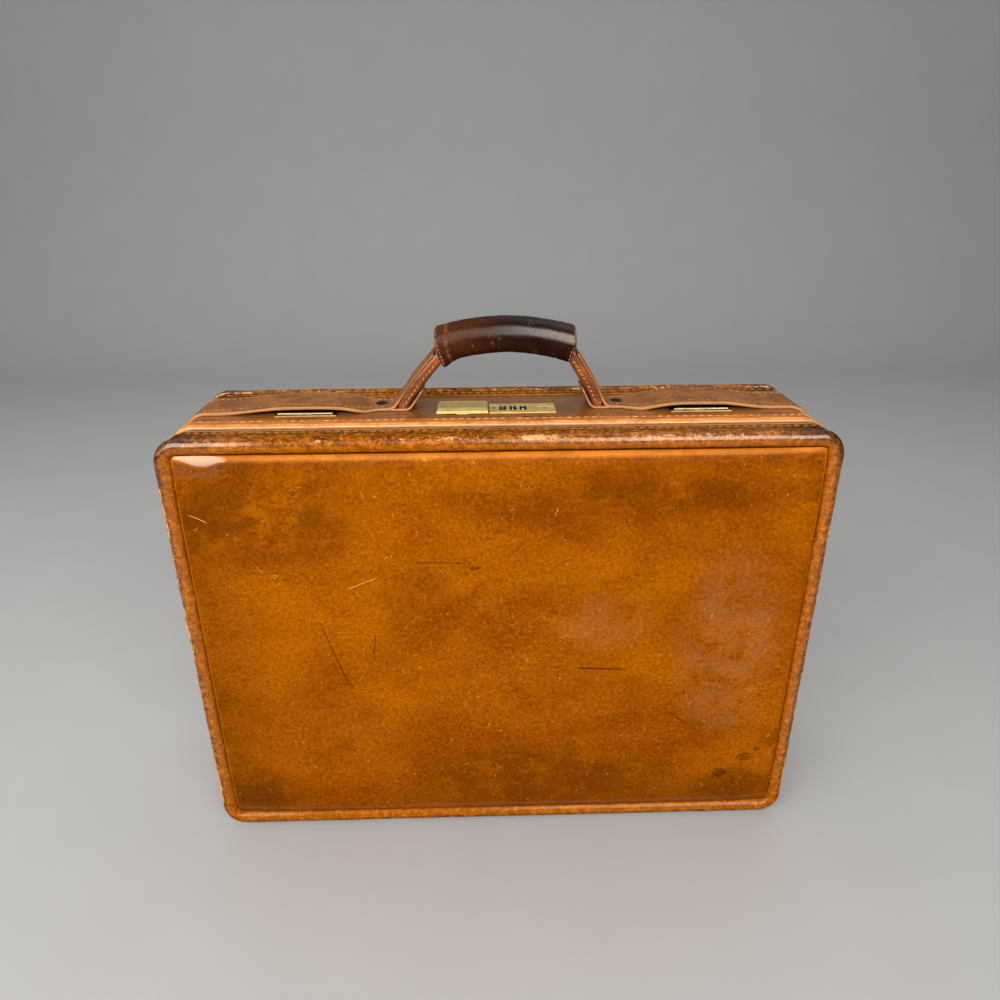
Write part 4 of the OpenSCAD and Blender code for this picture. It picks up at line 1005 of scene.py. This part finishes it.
def make_bead():
    """Profile (inset, depth): a bead (4 - R cos a, middle + R sin a), then a stitched lap."""
    turn = np.radians(np.linspace(-90, 62, 20))
    bead = join(4 - BEAD_R * np.cos(turn), BEAD_AT + BEAD_R * np.sin(turn))
    lap = np.array([[1.9, 38.3], [1.45, 39.0], [1.2, 39.9], [1.22, 40.6], [1.4, 41.2], [1.5, 41.8],
                    [1.4, 42.4], [1.22, 43.0], [1.2, 43.9], [1.25, 44.5], [1.55, 44.95],
                    [2.1, 45.0]])
    under = np.array([[2.5, 45.0], [2.5, 41.0], [2.52, 38.1], [4.0, 38.0], [4.0, 36.0],
                      [4.0, 33.5], [4.05, 32.5], [6.0, 32.5], [8.0, 32.5], [10.0, 32.5],
                      [12.0, 32.4], [12.0, 31.1], [10.0, 31.0], [8.0, 31.0], [6.0, 31.0]])
    profile = np.concatenate([bead, lap, under])
    inset, depth = profile.T
    on_bead = np.arange(len(profile)) < len(bead)
    points = carry_round(profile)
    share = on_bead * np.sin(np.linspace(0, 1, len(profile)) * np.pi * len(profile) / len(bead))
    push_out(points, limit(share) * uneven(points, 61, (0.14, 14), (0.06, 5)))
    # painted shade in the crease before the lap and below the parting
    sunk = bell(depth - 38.3, 0.6) * (inset < 2.6)
    sunk += limit((31.7 - depth) / 0.5)
    marks = {"wear": np.where(on_bead, 0.8, 0.1) * (inset < 3.2), "sunk": sunk,
             "edge": bell(depth - 44.9, 0.3) * (inset < 2.4)}
    bead = make_strip("body_bead", clear_of_knuckles(points), bead_leather, marks,
                      "base", "base_binding")
    sew("bead_stitches", *row_round(ROW_INSET, BEAD_ROW), "base", closed=True, seed=5)
    return bead


for strip in (make_lid_wall(), make_bead()):
    print(strip.name, "points:", len(strip.data.vertices))

# %% [markdown]
# ## Straps, legs and cradles
# Each long strap starts low on the side, turns over the top corner, arches over its latch, is
# riveted beside the handle, and then turns up along the outside of the handle's leg. In front
# view that is one path of straight runs and arcs, and the strap is a flat section carried along
# it. Its cut edges are square and paler than its face, and two rows of stitches hold it down.

# %% Paths in front view and flat sections
STRAP_MID, STRAP_HALF, STRAP_T = 79.5, 19.0, 2.6
HANDLE_X, FOOT_X, LEG_T, PLY_T, LEG_HALF = 0.5, 73.0, 8.0, 2.2, 13.0
ARCH, ARCH_RUN = 3.7, 44.0
ARCH_TOP, ARCH_END = 12.0, {-1: 203.0, 1: 198.0}
GRIP_SHIFT, GRIP_HALF_ANGLE, GRIP_REACH, CORE_BEND = 4.0, math.radians(17.8), 50.4, 156.0


def rounded_path(corners, radii, step=1.0):
    """Points about a step apart along straight runs whose corners are arcs of given radii."""
    corners = np.array(corners, float)
    parts = [corners[:1]]
    for k, radius in zip(range(1, len(corners) - 1), radii):
        to_a, to_c = unit(corners[k - 1] - corners[k]), unit(corners[k + 1] - corners[k])
        turn = math.pi - math.acos(float(np.clip(to_a @ to_c, -1, 1)))
        back = radius * math.tan(turn / 2)
        middle = corners[k] + unit(to_a + to_c) * radius / math.cos(turn / 2)
        first, last = corners[k] + to_a * back - middle, corners[k] + to_c * back - middle
        t = np.linspace(0, 1, max(int(radius * turn / 0.6), 3))[:, None]
        parts.append(middle + (np.sin((1 - t) * turn) * first + np.sin(t * turn) * last)
                     / math.sin(turn))
    parts.append(corners[-1:])
    line = np.concatenate(parts)
    run = run_of(line)
    keep = np.concatenate([[True], np.diff(run) > 1e-6])
    at = np.linspace(0, run[-1], int(run[-1] / step) + 1)
    return np.stack([np.interp(at, run[keep], line[keep, k]) for k in (0, 1)], -1)


def left_of(path):
    """Unit directions square to a path (n, 2), to its left."""
    ahead = unit(np.gradient(path, axis=0))
    return join(-ahead[:, 1], ahead[:, 0])


def strap_section(half=STRAP_HALF, thick=STRAP_T, row=5.0):
    """Section (across, up) of a strap with flat cut edges, its mark for the edges, and painted shade
    along the stitch rows.
    """
    from_edge = np.array([0.5, 1.2, 2.2, row - 1.0, row - 0.5, row, row + 0.5, row + 1.0, row + 3,
                          row + 6, row + 10])
    from_edge = from_edge[from_edge < half - 0.5]
    top = np.concatenate([-half + from_edge, half - from_edge[::-1]])
    dip = 0.28 * bell(np.abs(top) - (half - row), 0.55)
    crown = 0.25 * limit(1 - limit((np.abs(top) - half + 3) / 3) ** 2) - 0.25
    up = thick / 2 - dip + crown
    side = np.array([[half - 0.12, thick / 2 - 0.35], [half, thick / 2 - 0.75], [half, 0.0],
                     [half, -thick / 2 + 0.5], [half - 0.3, -thick / 2]])
    under = join(np.linspace(half - 4, -half + 4, 5), -thick / 2)
    section = np.concatenate([join(top, up), side, under, side[::-1] * [-1, 1]])
    edge = (np.abs(section[:, 0]) > half - 0.05) * 1.0
    # painted shade along the stitch rows
    sunk = np.concatenate([dip / 0.28 * 0.6, np.zeros(len(section) - len(top))])
    return section, edge, sunk


def round_end(run, radius):
    """How far an edge draws in at distances from its end: r - sqrt(r^2 - (r - run)^2)."""
    return radius - np.sqrt(np.maximum(radius ** 2 - np.maximum(radius - run, 0) ** 2, 0))


def carry_flat(path, section, widths, thicks, side, facing=1):
    """Carries a section of (across, up) along a front-view path; facing -1 turns it over."""
    up = left_of(path) * facing
    across = section[None, :, 0] * widths[:, None]
    rise = section[None, :, 1] * thicks[:, None]
    x = path[:, None, 0] + up[:, None, 0] * rise
    z = path[:, None, 1] + up[:, None, 1] * rise
    return join(side * x, STRAP_MID + across, WALL_TOP + z)


def along_tube(values, rings, ends=0.0):
    """A mark given for one section, repeated for every ring and followed by both end points."""
    return np.concatenate([np.repeat(values[None], rings, 0).ravel(), [ends, ends]])


def leg_line(side):
    """Middle line of a leg, from its foot up to the grip's end, bowed 1 mm outward."""
    top = np.array([CORE_BEND * math.sin(GRIP_HALF_ANGLE) + side * (GRIP_SHIFT + HANDLE_X),
                    BEND_MID + CORE_BEND * math.cos(GRIP_HALF_ANGLE)])
    foot = np.array([FOOT_X + side * HANDLE_X - 0.8, 1.0])
    return np.array([foot, (foot + top) / 2 + [0.9, 0.5], top])


def sideways(line, off):
    """Corners of a line moved off to its right by a distance (outward from the leg)."""
    ahead = unit(np.diff(line, axis=0))
    right = join(ahead[:, 1], -ahead[:, 0])
    moved = [line[0] + right[0] * off]
    for k in range(1, len(line) - 1):
        half = unit(right[k - 1] + right[k])
        moved.append(line[k] + half * off / float(half @ right[k]))
    moved.append(line[-1] + right[-1] * off)
    return np.array(moved)


def at_height(line, height):
    """Where the line's lowest run, drawn on if need be, crosses a height."""
    ahead = line[1] - line[0]
    return line[0] + ahead * (height - line[0][1]) / ahead[1]


def bend_with_handle(piece):
    """Bakes the piece's placement into its mesh points."""
    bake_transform(piece)


# %% Long straps with their turned-up ends
STRAP_BEND, STRAP_ROUND = 15.5, 9.0
HOOKS = {-1: 139.0, 1: 145.0}
NARROW_FROM, NARROW_RUN = 104, 18
STRAP_SEAM = {"pitch": 4.4, "length": 2.9, "thick": 0.7, "finish": old_thread}


def strap_path(side):
    """The strap's middle line: up the side, over the corner, along the top, up the leg."""
    half = STRAP_T / 2
    ply = sideways(leg_line(side), LEG_T / 2 - 0.1 + PLY_T / 2)
    top = ply[2] + unit(ply[2] - ply[1]) * 0.5
    corners = [[WALL_SIDE + half, -74.0], [WALL_SIDE + half, half], at_height(ply, half), ply[1], top]
    path = rounded_path(corners, [STRAP_BEND + half, 7.0, 60.0], 1.0)
    t = np.clip((path[:, 0] - HOOKS[side]) / ARCH_RUN, -1, 0)
    start = HOOKS[side] + ARCH_TOP
    fall = limit((path[:, 0] - start) / (ARCH_END[side] - start))
    on_top = (path[:, 1] < half + 0.05) & (path[:, 1] > half - 0.05)
    path[:, 1] += np.where(on_top, ARCH * (1 - t ** 4) ** 2 * (1 - smooth(fall)), 0)
    return path


def make_strap(side, word):
    """A flat section along the strap's path, narrowed to the leg's width by a smooth step in x."""
    path = strap_path(side)
    run = run_of(path)
    section, edge, sunk = strap_section()
    corner = round_end(run, STRAP_ROUND)
    narrow = smooth(limit((NARROW_FROM - path[:, 0]) / NARROW_RUN))
    half = STRAP_HALF + (LEG_HALF - STRAP_HALF) * narrow - corner * 0.75
    thick = 1 + (PLY_T / STRAP_T - 1) * narrow
    ends = np.clip(np.minimum(run, run[-1] - run) / 0.8, 0.25, 1) ** 0.5
    points = carry_flat(path, section, half / STRAP_HALF, thick * ends, side, -1)
    wave = 0.18 * waves(points, 30, 71 + side)
    points[..., 2] += wave * (np.abs(points[..., 0]) < 190) * (points[..., 2] < WALL_TOP + 8) * (
        1 - narrow[:, None]) * 0.6
    marks = {"edge": along_tube(edge, len(path), 0.8), "sunk": along_tube(sunk, len(path)),
             "wear": along_tube(edge * 0.4, len(path))}
    marks["wear"][:len(path) * len(edge)] += np.repeat(
        0.25 * (np.abs(np.gradient(left_of(path)[:, 0])) > 0.02), len(edge))
    strap = make_tube("strap_" + word, points, strap_leather, marks,
                      nodes=["strap_" + word, "handle_ply_" + word])
    bend_with_handle(strap)
    up = -left_of(path)
    for k, edge_side in enumerate((-1, 1)):
        across = edge_side * (half - 5.0 * half / STRAP_HALF)
        keep = (run > 7) & (run < run[-1] - 5)
        lift = STRAP_T / 2 * thick - 0.12
        row = join(side * (path[:, 0] + up[:, 0] * lift), STRAP_MID + across,
                   WALL_TOP + path[:, 1] + up[:, 1] * lift)[keep]
        out = join(side * up[:, 0], 0.0, up[:, 1])[keep]

        def outward(at, row=row, out=out):
            nearest = np.argmin(((at[:, None] - row[None]) ** 2).sum(-1), axis=1)
            return out[nearest]
        stitches = sew(f"strap_{word}_stitches_{k + 1}", row, outward, seed=80 + k + 2 * side,
                       **STRAP_SEAM)
        bend_with_handle(stitches)
    return strap


for side, word in SIDES:
    strap = make_strap(side, word)
    print(strap.name, "length along its middle:", round(run_of(strap_path(side))[-1], 1), "mm")

# %% [markdown]
# ### Legs
# Inside the strap's turned-up end stands the leg: a core wrapped in leather, 8 mm thick and
# rounded at front and back, sewn near its outer side. The core's middle runs on inside the grip.

# %% Legs of the handle and the cradles under their feet
CRADLE_ROUND = 5
LEG_SEAM = {"pitch": 3.5, "length": 2.6, "thick": 0.8, "slant": 22.0}


def rounded_section(half_w, half_t, count, power):
    """Rounded rectangle: (a sign(cos) |cos|^p, b sign(sin) |sin|^p)."""
    angle = np.linspace(0, 2 * np.pi, count, endpoint=False)
    c, s = np.cos(angle), np.sin(angle)
    return join(half_w * np.sign(c) * np.abs(c) ** power,
                half_t * np.sign(s) * np.abs(s) ** (power * 1.3))


def make_leg(side, word):
    """A rounded section along the leg's line, flat outside, its foot sqrt(1 - (1 - s)^2) thick."""
    line = leg_line(side)
    line[2] += unit(line[2] - line[1]) * 3.0
    path = rounded_path(line, [60.0], 0.8)
    run = run_of(path)
    foot = np.sqrt(np.clip(1 - (1 - limit(run / 3.0)) ** 2, 0.02, 1))
    fuller = 0.96 + 0.06 * np.sin(limit(run / run[-1]) * np.pi)
    section = rounded_section(LEG_HALF - 0.2, LEG_T / 2 - 0.05, 36, 0.5)
    flatter = rounded_section(LEG_HALF - 0.2, LEG_T / 2 + 0.05, 36, 0.14)
    section = np.where(section[:, 1:] < 0, flatter, section)
    points = carry_flat(path, section, fuller, foot * fuller, side)
    push = 0.15 * waves(points, 9, 90 + side)
    points[..., 1] += push * np.sign(points[..., 1] - STRAP_MID)
    wear = along_tube(np.full(len(section), 0.3), len(path), 0.3)
    leg = make_tube("leg_" + word, points, core_leather, {"wear": wear},
                    nodes=["handle_core"] if side < 0 else ())
    bend_with_handle(leg)
    row_path = rounded_path(sideways(line, -0.3), [60.0], 1.0)[5:-4]
    for k, face in enumerate((-1, 1)):
        row = join(side * row_path[:, 0], STRAP_MID + face * (LEG_HALF - 0.15),
                   WALL_TOP + row_path[:, 1])
        stitches = sew(f"leg_{word}_stitches_{k + 1}", row, (0.0, face, 0.0),
                       seed=100 + k + side, **LEG_SEAM)
        bend_with_handle(stitches)
    return leg


def make_cradle(side, word):
    """Leather strip under the foot, its inner end turned up close along the leg."""
    foot = FOOT_X + side * HANDLE_X
    inner = sideways(leg_line(side), -LEG_T / 2 - 0.9)
    tip_at = at_height(inner, 15.5)
    corners = [[foot + LEG_T / 2 + PLY_T + 1.6, 1.0], at_height(inner, 1.0), tip_at]
    path = rounded_path(corners, [5.5], 0.7)
    section, edge, _ = strap_section(LEG_HALF, 2.0, 4.0)
    run = run_of(path)
    left = run[-1] - run
    tip = round_end(left, CRADLE_ROUND) * 0.8
    ends = np.clip(np.minimum(run, left) / 0.7, 0.3, 1) ** 0.5
    points = carry_flat(path, section, (LEG_HALF - tip) / LEG_HALF, ends, side, -1)
    flags = along_tube(edge, len(path), 1.0)
    cradle = make_tube("foot_cradle_" + word + "_leather", points, strap_leather,
                       {"edge": flags, "wear": flags * 0.4}, nodes=["foot_cradle_" + word])
    bend_with_handle(cradle)
    return cradle


legs = [make_leg(side, word) for side, word in SIDES]
cradles = [make_cradle(side, word) for side, word in SIDES]
print("legs and cradles:", [piece.name for piece in legs + cradles])

# %% [markdown]
# ## The grip
# A bent sleeve of dark leather, polished by hands. Its section is a soft rounded rectangle, it
# is a little fuller in the middle, and its ends are turned in round the legs. The surface is
# `radius(angle, t)` on a grid: angle round the section, t along the bend.

# %% Grip of polished leather
GRIP_HALF, GRIP_UP, GRIP_DOWN, GRIP_TOP = 13.8, 12.9, 12.6, 13
GRIP_LIP = 2.0
GRIP_SEAM = {"pitch": 2.6, "length": 1.9, "thick": 0.6, "slant": 8.0}


def grip_section(count=56):
    """Domed above, boxier below, with a faint ridge along the front and back at mid height."""
    angle = np.linspace(0, 2 * np.pi, count, endpoint=False)
    c, s = np.cos(angle), np.sin(angle)
    across = GRIP_HALF * np.sign(c) * np.abs(c) ** np.where(s > 0, 0.80, 0.45)
    up = np.where(s > 0, GRIP_UP * np.abs(s) ** 1.05, -GRIP_DOWN * np.abs(s) ** 0.75)
    ridge = 1 + 0.012 * bell(s, 0.12)
    return join(across * ridge, up)


def bend_grip(s, across, rise):
    """Turns (along, across, up) about the grip's bend; above its middle the ends stand upright."""
    radius = GRIP_BEND + rise
    reach = math.asin(GRIP_REACH / (GRIP_BEND + GRIP_TOP)) / GRIP_HALF_ANGLE
    turn = s / GRIP_BEND * (1 - (1 - reach) * limit(rise / GRIP_TOP))
    x = radius * np.sin(turn)
    z = BEND_MID + radius * np.cos(turn)
    settled = bell(turn + GRIP_HALF_ANGLE, 0.055) * limit(-(rise + 3) / 9)
    return join(HANDLE_X + GRIP_SHIFT + x + 1.6 * settled, STRAP_MID + across,
                WALL_TOP + z - 2.6 * settled)


def make_grip():
    """The grip's section carried round its bend, nipped beside both ends and tucked in at them."""
    length = 2 * GRIP_HALF_ANGLE * GRIP_BEND
    ramp = np.array([0.0, 0.2, 0.6, 1.2, 2.0])
    along = np.concatenate([ramp - length / 2, np.linspace(3.2 - length / 2, length / 2 - 3.2, 84),
                            length / 2 - ramp[::-1]])
    tuck = round_end(length / 2 - np.abs(along), GRIP_LIP)
    section = grip_section()
    size = np.linalg.norm(section, axis=-1)[None, :, None]
    thin = join(1.0, 1 - 0.06 * (section[:, 1] < 0))
    middle = (1 - (2 * along / length) ** 2)[:, None, None]
    rings = section[None] * (1 - tuck[:, None, None] / size) * (1 + (thin[None] - 1) * middle)
    inside = [section[None] * scale for scale in (0.30, 0.74, 0.80)]
    rings = np.concatenate(inside + [rings] + inside[::-1])
    back = np.array([1.8, 1.6, 0.3])
    s = np.concatenate([back - length / 2, along, length / 2 - back[::-1]])
    left_nip = bell(s + length / 2 - 8.5, 0.7)
    nip = 0.3 * left_nip + 0.25 * bell(s - length / 2 + 12.0, 0.8)
    rings = rings * (1 - nip[:, None, None] / np.linalg.norm(rings, axis=-1, keepdims=True))
    points = bend_grip(s[:, None], rings[..., 0], rings[..., 1])
    push = uneven(points, 121, (0.14, 16), (0.07, 7))
    points = points + unit(points - points.mean(1, keepdims=True)) * push[..., None]
    wear = 0.7 * left_nip + 0.8 * (length / 2 - np.abs(s) < 1.5)
    place_in_row = np.arange(len(s))
    hidden = (place_in_row < 2) | (place_in_row >= len(s) - 2)
    # painted shade on the rings hidden in the legs
    marks = {"sunk": np.append(np.repeat(hidden * 1.0, len(section)), [1, 1]),
             "wear": np.append(np.repeat(wear, len(section)), [0, 0])}
    grip = make_tube("handle_grip_leather", points, grip_leather, marks, "handle", ["handle_grip"])
    rise = np.linspace(3.0, -10.5, 24)
    for end, word in SIDES:
        for face, where in ((-1, "front"), (1, "back")):
            row = bend_grip(end * (length / 2 - 2.6), face * 13.6, rise)
            sew(f"grip_{word}_{where}_stitches", row, (0.0, face, 0.0), "handle",
                seed=130 + end, **GRIP_SEAM)
    return grip


grip = make_grip()
print("grip:", [round(side / MM, 1) for side in grip.dimensions], "mm")

# %% [markdown]
# ## Numbers on the dials
# Each dial carries the plain numbers 0 to 9. A figure is a text object turned into a mesh, then
# rolled onto the dial: its height becomes an angle and its width runs along the axle.

# %% Roll plain numbers onto the dials
DIAL_R, DIAL_MID_Z, LOCK_MID = 7.0, WALL_TOP - 5.0, 68.5
DIAL_FIRST, DIAL_PITCH = 2.3, 7.4
FIGURE_SIZE, FIGURE_SUNK, FIGURE_LEFT = 3.7, 0.03, 0.2


def figure_points(text, size):
    """Points and faces of one figure, flat, about its own middle, in mm."""
    curve = bpy.data.curves.new("figure", "FONT")
    curve.body = text
    curve.size = size
    curve.extrude = 0.06
    curve.resolution_u = 3
    holder = bpy.data.objects.new("figure", curve)
    bpy.context.scene.collection.objects.link(holder)
    mesh = holder.evaluated_get(bpy.context.evaluated_depsgraph_get()).to_mesh()
    points = np.array([v.co[:] for v in mesh.vertices])
    faces = [list(p.vertices) for p in mesh.polygons]
    bpy.data.objects.remove(holder)
    bpy.data.curves.remove(curve)
    low, high = points.min(0), points.max(0)
    return points - np.array([(low[0] + high[0]) / 2, (low[1] + high[1]) / 2, low[2]]), faces


def number_dial(index, start):
    """Ten figures at angles 36 (k - start) degrees, their height y turned into the angle y / R."""
    points, faces = [], []
    first = 0
    x_mid = DIAL_FIRST + index * DIAL_PITCH
    for k in range(10):
        flat, cuts = figure_points(str(k), FIGURE_SIZE)
        angle = np.radians(36 * (k - start)) + flat[:, 1] / DIAL_R
        radius = DIAL_R - FIGURE_SUNK + flat[:, 2]
        points.append(join(x_mid + flat[:, 0] - FIGURE_LEFT, LOCK_MID + radius * np.sin(angle),
                           DIAL_MID_Z + radius * np.cos(angle)))
        faces += [[v + first for v in cut] for cut in cuts]
        first += len(flat)
    points = np.concatenate(points)
    make_piece(f"dial_{index + 1}_numbers", place(*points.T), faces, number_ink,
               body="dial_" + "abc"[index])


for index, start in enumerate((2, 6, 9)):
    number_dial(index, start)
    print("dial", index + 1, "shows", start)

# %% [markdown]
# ## Pockets in the lid
# A papers' pocket of suede hangs across the whole lid, bound with leather along its open top.
# Two small pockets and two pen loops are sewn to its face. Each is a soft sheet: flat where it
# is sewn down, and standing off where papers have stretched it.

# %% Soft pockets
LID_FACE, CARD_FACE = 11.8, 16.4
LOOP_LOW, LOOP_HIGH = 79.8, 105.8
PUFF_RUN, PUFF_RISE, SEAM_INSET = 4.0, 5.0, 2.2
POCKET_SEAM = {"pitch": 4.6, "length": 3.2, "thick": 0.7}


def puffed(from_side, from_low):
    """(1 - exp(-side / 4)) (1 - exp(-low / 5)): 0 on the seams, near 1 away from them."""
    return (1 - np.exp(-from_side / PUFF_RUN)) * (1 - np.exp(-from_low / PUFF_RISE))


def make_pocket(name, x_mid, low, width, height, seat, puff, finish, sag, seed, node, thick=1.1):
    """A pocket sheet: depth = seat + thick + puff * puffed(x, z), its top edge sagging."""
    cols, rows = 90, 60
    u = np.sin(np.linspace(-np.pi / 2, np.pi / 2, cols))
    v = 0.5 + 0.5 * np.sin(np.linspace(-np.pi / 2, np.pi / 2, rows))
    u, v = np.meshgrid(u, v)
    x = x_mid + u * width / 2
    z = low + v * (height - sag * (1 - u ** 2))
    shoulder = puffed(width / 2 - np.abs(x - x_mid), v * height)
    front = seat + thick + puff * shoulder + 0.25 * shoulder * waves(join(x, z), 60, seed)
    outer = join(x, front, z)
    back = join(x, front - thick * 0.9, z)
    points = np.concatenate([outer.reshape(-1, 3), back.reshape(-1, 3)])
    count = rows * cols
    ring = border(rows, cols)
    faces = lattice(rows, cols) + lattice(rows, cols, first=count) + band(ring, ring + count)
    pocket = make_piece(name, place(*points.T), faces, finish, None, "lid", [node] if node else ())
    top = outer[-1]
    binding = join(top[:, 0], top[:, 1] - thick * 0.45, top[:, 2])
    angle = np.linspace(0, 2 * np.pi, 16, endpoint=False)
    section = join(1.0 * np.cos(angle) * thick, 2.6 * np.sin(angle))
    rings = binding[:, None] + join(0.0, section[:, 0], section[:, 1])
    make_tube(name + "_binding", rings, strap_leather, None, "lid")
    share = 2 * SEAM_INSET / width
    row_x = np.concatenate([x[::-1, 0] + SEAM_INSET, x[0] * (1 - share) + x_mid * share,
                            x[:, -1] - SEAM_INSET])
    row_z = np.concatenate([z[::-1, 0], np.full(cols, low + SEAM_INSET), z[:, -1]])
    row_depth = seat + thick + puff * puffed(width / 2 - np.abs(row_x - x_mid), row_z - low)
    sew(name + "_stitches", join(row_x, row_depth, row_z), (0.0, 1.0, 0.0), "lid", seed=seed,
        **POCKET_SEAM)
    return pocket


pockets = [make_pocket("papers_pocket", 0.0, low=29.8, width=404.0, height=190.0, seat=LID_FACE,
                       puff=3.2, finish=suede, sag=3.0, seed=151, node="document_pocket")]
pockets += [make_pocket(f"card_pocket_{k + 1}", x, low=49.8, width=116.0, height=88.0,
                        seat=CARD_FACE, puff=1.4, finish=strap_leather, sag=1.5, seed=160 + k,
                        node=node, thick=1.0)
            for k, (x, node) in enumerate(((-128.0, "card_pockets"), (128.0, None)))]


def make_pen_loop(index, x_mid):
    """A band of leather: depth = seat + 0.6 + 4.6 sin(pi u)^0.8 across its width."""
    u = np.linspace(0, 1, 25)
    across = x_mid + (u - 0.5) * 14
    rise = 0.6 + 4.6 * np.sin(np.pi * u) ** 0.8
    ahead = left_of(join(across, rise))
    ring = []
    for off, z in ((0.5, LOOP_LOW), (0.5, LOOP_HIGH), (-0.5, LOOP_HIGH), (-0.5, LOOP_LOW)):
        ring.append(join(across + ahead[:, 0] * off, CARD_FACE + rise + ahead[:, 1] * off, z))
    make_tube(f"pen_loop_{index}", np.stack(ring, 1), strap_leather, None, "lid")


make_pen_loop(1, -12.0)
make_pen_loop(2, 12.0)
print("pockets:", [pocket.name for pocket in pockets], "and two pen loops")

# %% [markdown]
# ## Floor, light and camera
# A pale sweep of floor and wall, a large soft lamp in front and weaker ones at the left and
# overhead. Polish shows a window, not a lamp: a second, taller panel is seen only by glossy
# rays, so it draws the broad highlight on the upper rim and adds no light of its own. Light
# linking keeps it off the brass, which would burn out. The camera stands where the
# photographer stood, looking slightly down.

# %% Stage, lamps and camera
FLOOR_REACH, WALL_Y, WALL_RISE, SWEEP_R = 14.0, 2.0, 4.0, 0.6


def make_sweep():
    """Floor and backdrop in one: flat, then a quarter turn of radius 0.6 m, then upright."""
    angle = np.linspace(0, np.pi / 2, 24)
    y = np.concatenate([[-FLOOR_REACH], WALL_Y - SWEEP_R + SWEEP_R * np.sin(angle), [WALL_Y]])
    z = np.concatenate([[0.0], SWEEP_R - SWEEP_R * np.cos(angle), [WALL_RISE]])
    x = np.array([-FLOOR_REACH, FLOOR_REACH])
    points = join(x, y[:, None], z[:, None]).reshape(-1, 3)
    mesh = bpy.data.meshes.new("sweep")
    mesh.from_pydata(points.tolist(), [], lattice(len(y), 2))
    mesh.shade_smooth()
    sweep = bpy.data.objects.new("sweep", mesh)
    bpy.context.scene.collection.objects.link(sweep)
    paper = Finish("studio_paper", None, Roughness=0.7)
    mottle = paper.noise(90, 3.0)
    paper.paint(paper.mix(mottle, (0.47, 0.47, 0.46, 1.0), (0.51, 0.51, 0.50, 1.0)))
    mesh.materials.append(paper.material)


def add_lamp(name, at, towards, energy, size, size_y, colour=(1.0, 1.0, 1.0), lights=True,
             shines=True, only=None):
    """A soft lamp; lights: it lights surfaces; shines: glossy surfaces mirror it; only: these."""
    light = bpy.data.lights.new(name, "AREA")
    light.shape = "RECTANGLE"
    light.energy, light.size, light.size_y, light.color = energy, size, size_y, colour
    lamp = bpy.data.objects.new(name, light)
    lamp.location = at
    lamp.rotation_euler = (Vector(towards) - Vector(at)).to_track_quat("-Z", "Y").to_euler()
    lamp.visible_diffuse = lights
    lamp.visible_glossy = shines
    if only:
        chosen = bpy.data.collections.new(name + "_receivers")
        for piece in only:
            chosen.objects.link(piece)
        lamp.light_linking.receiver_collection = chosen
    bpy.context.scene.collection.objects.link(lamp)


make_sweep()
ABOVE_FLOOR = (0, 0, 0.3)
add_lamp("key", at=(-0.15, -1.25, 1.2), towards=ABOVE_FLOOR, energy=33, size=2.4, size_y=0.62,
         colour=(1.0, 0.98, 0.95), shines=False)
polished = [piece for piece in bpy.data.objects if piece.type == "MESH" and piece.data.materials
            and "leather" in piece.data.materials[0].name]
print("polished pieces:", len(polished))
add_lamp("window", at=(-0.2, -1.5, 1.35), towards=ABOVE_FLOOR, energy=260, size=3.8, size_y=1.6,
         colour=(1.0, 0.92, 0.78), lights=False, only=polished)
add_lamp("fill", at=(-1.5, -0.6, 0.8), towards=(0, 0, 0.2), energy=6, size=0.8, size_y=0.8)
add_lamp("top", at=(0.0, 0.6, 1.8), towards=ABOVE_FLOOR, energy=9, size=2.4, size_y=1.4)

world = bpy.data.worlds.new("studio")
bpy.context.scene.world = world
world.use_nodes = True
sky = world.node_tree.nodes["Background"].inputs
sky["Color"].default_value = (0.80, 0.82, 0.85, 1.0)
sky["Strength"].default_value = 0.28

scene = bpy.context.scene
CAMERA_AT = (-0.0124, -0.5234, 0.4957)
right = Vector((0.99967, -0.02566, -0.0056)).normalized()
up = Vector((0.0155, 0.4052, 0.9141)).normalized()
back = right.cross(up).normalized()
up = back.cross(right)
lens = bpy.data.cameras.new("camera")
lens.lens, lens.sensor_width = 27.07, 36.0
camera = bpy.data.objects.new("camera", lens)
turned = Matrix((right, up, back)).transposed().to_4x4()
camera.matrix_world = Matrix.Translation(CAMERA_AT) @ turned
scene.collection.objects.link(camera)
scene.camera = camera
scene.view_settings.view_transform = "Standard"
print("camera at", CAMERA_AT, "looking down", round(math.degrees(math.asin(back.z)), 1), "degrees")
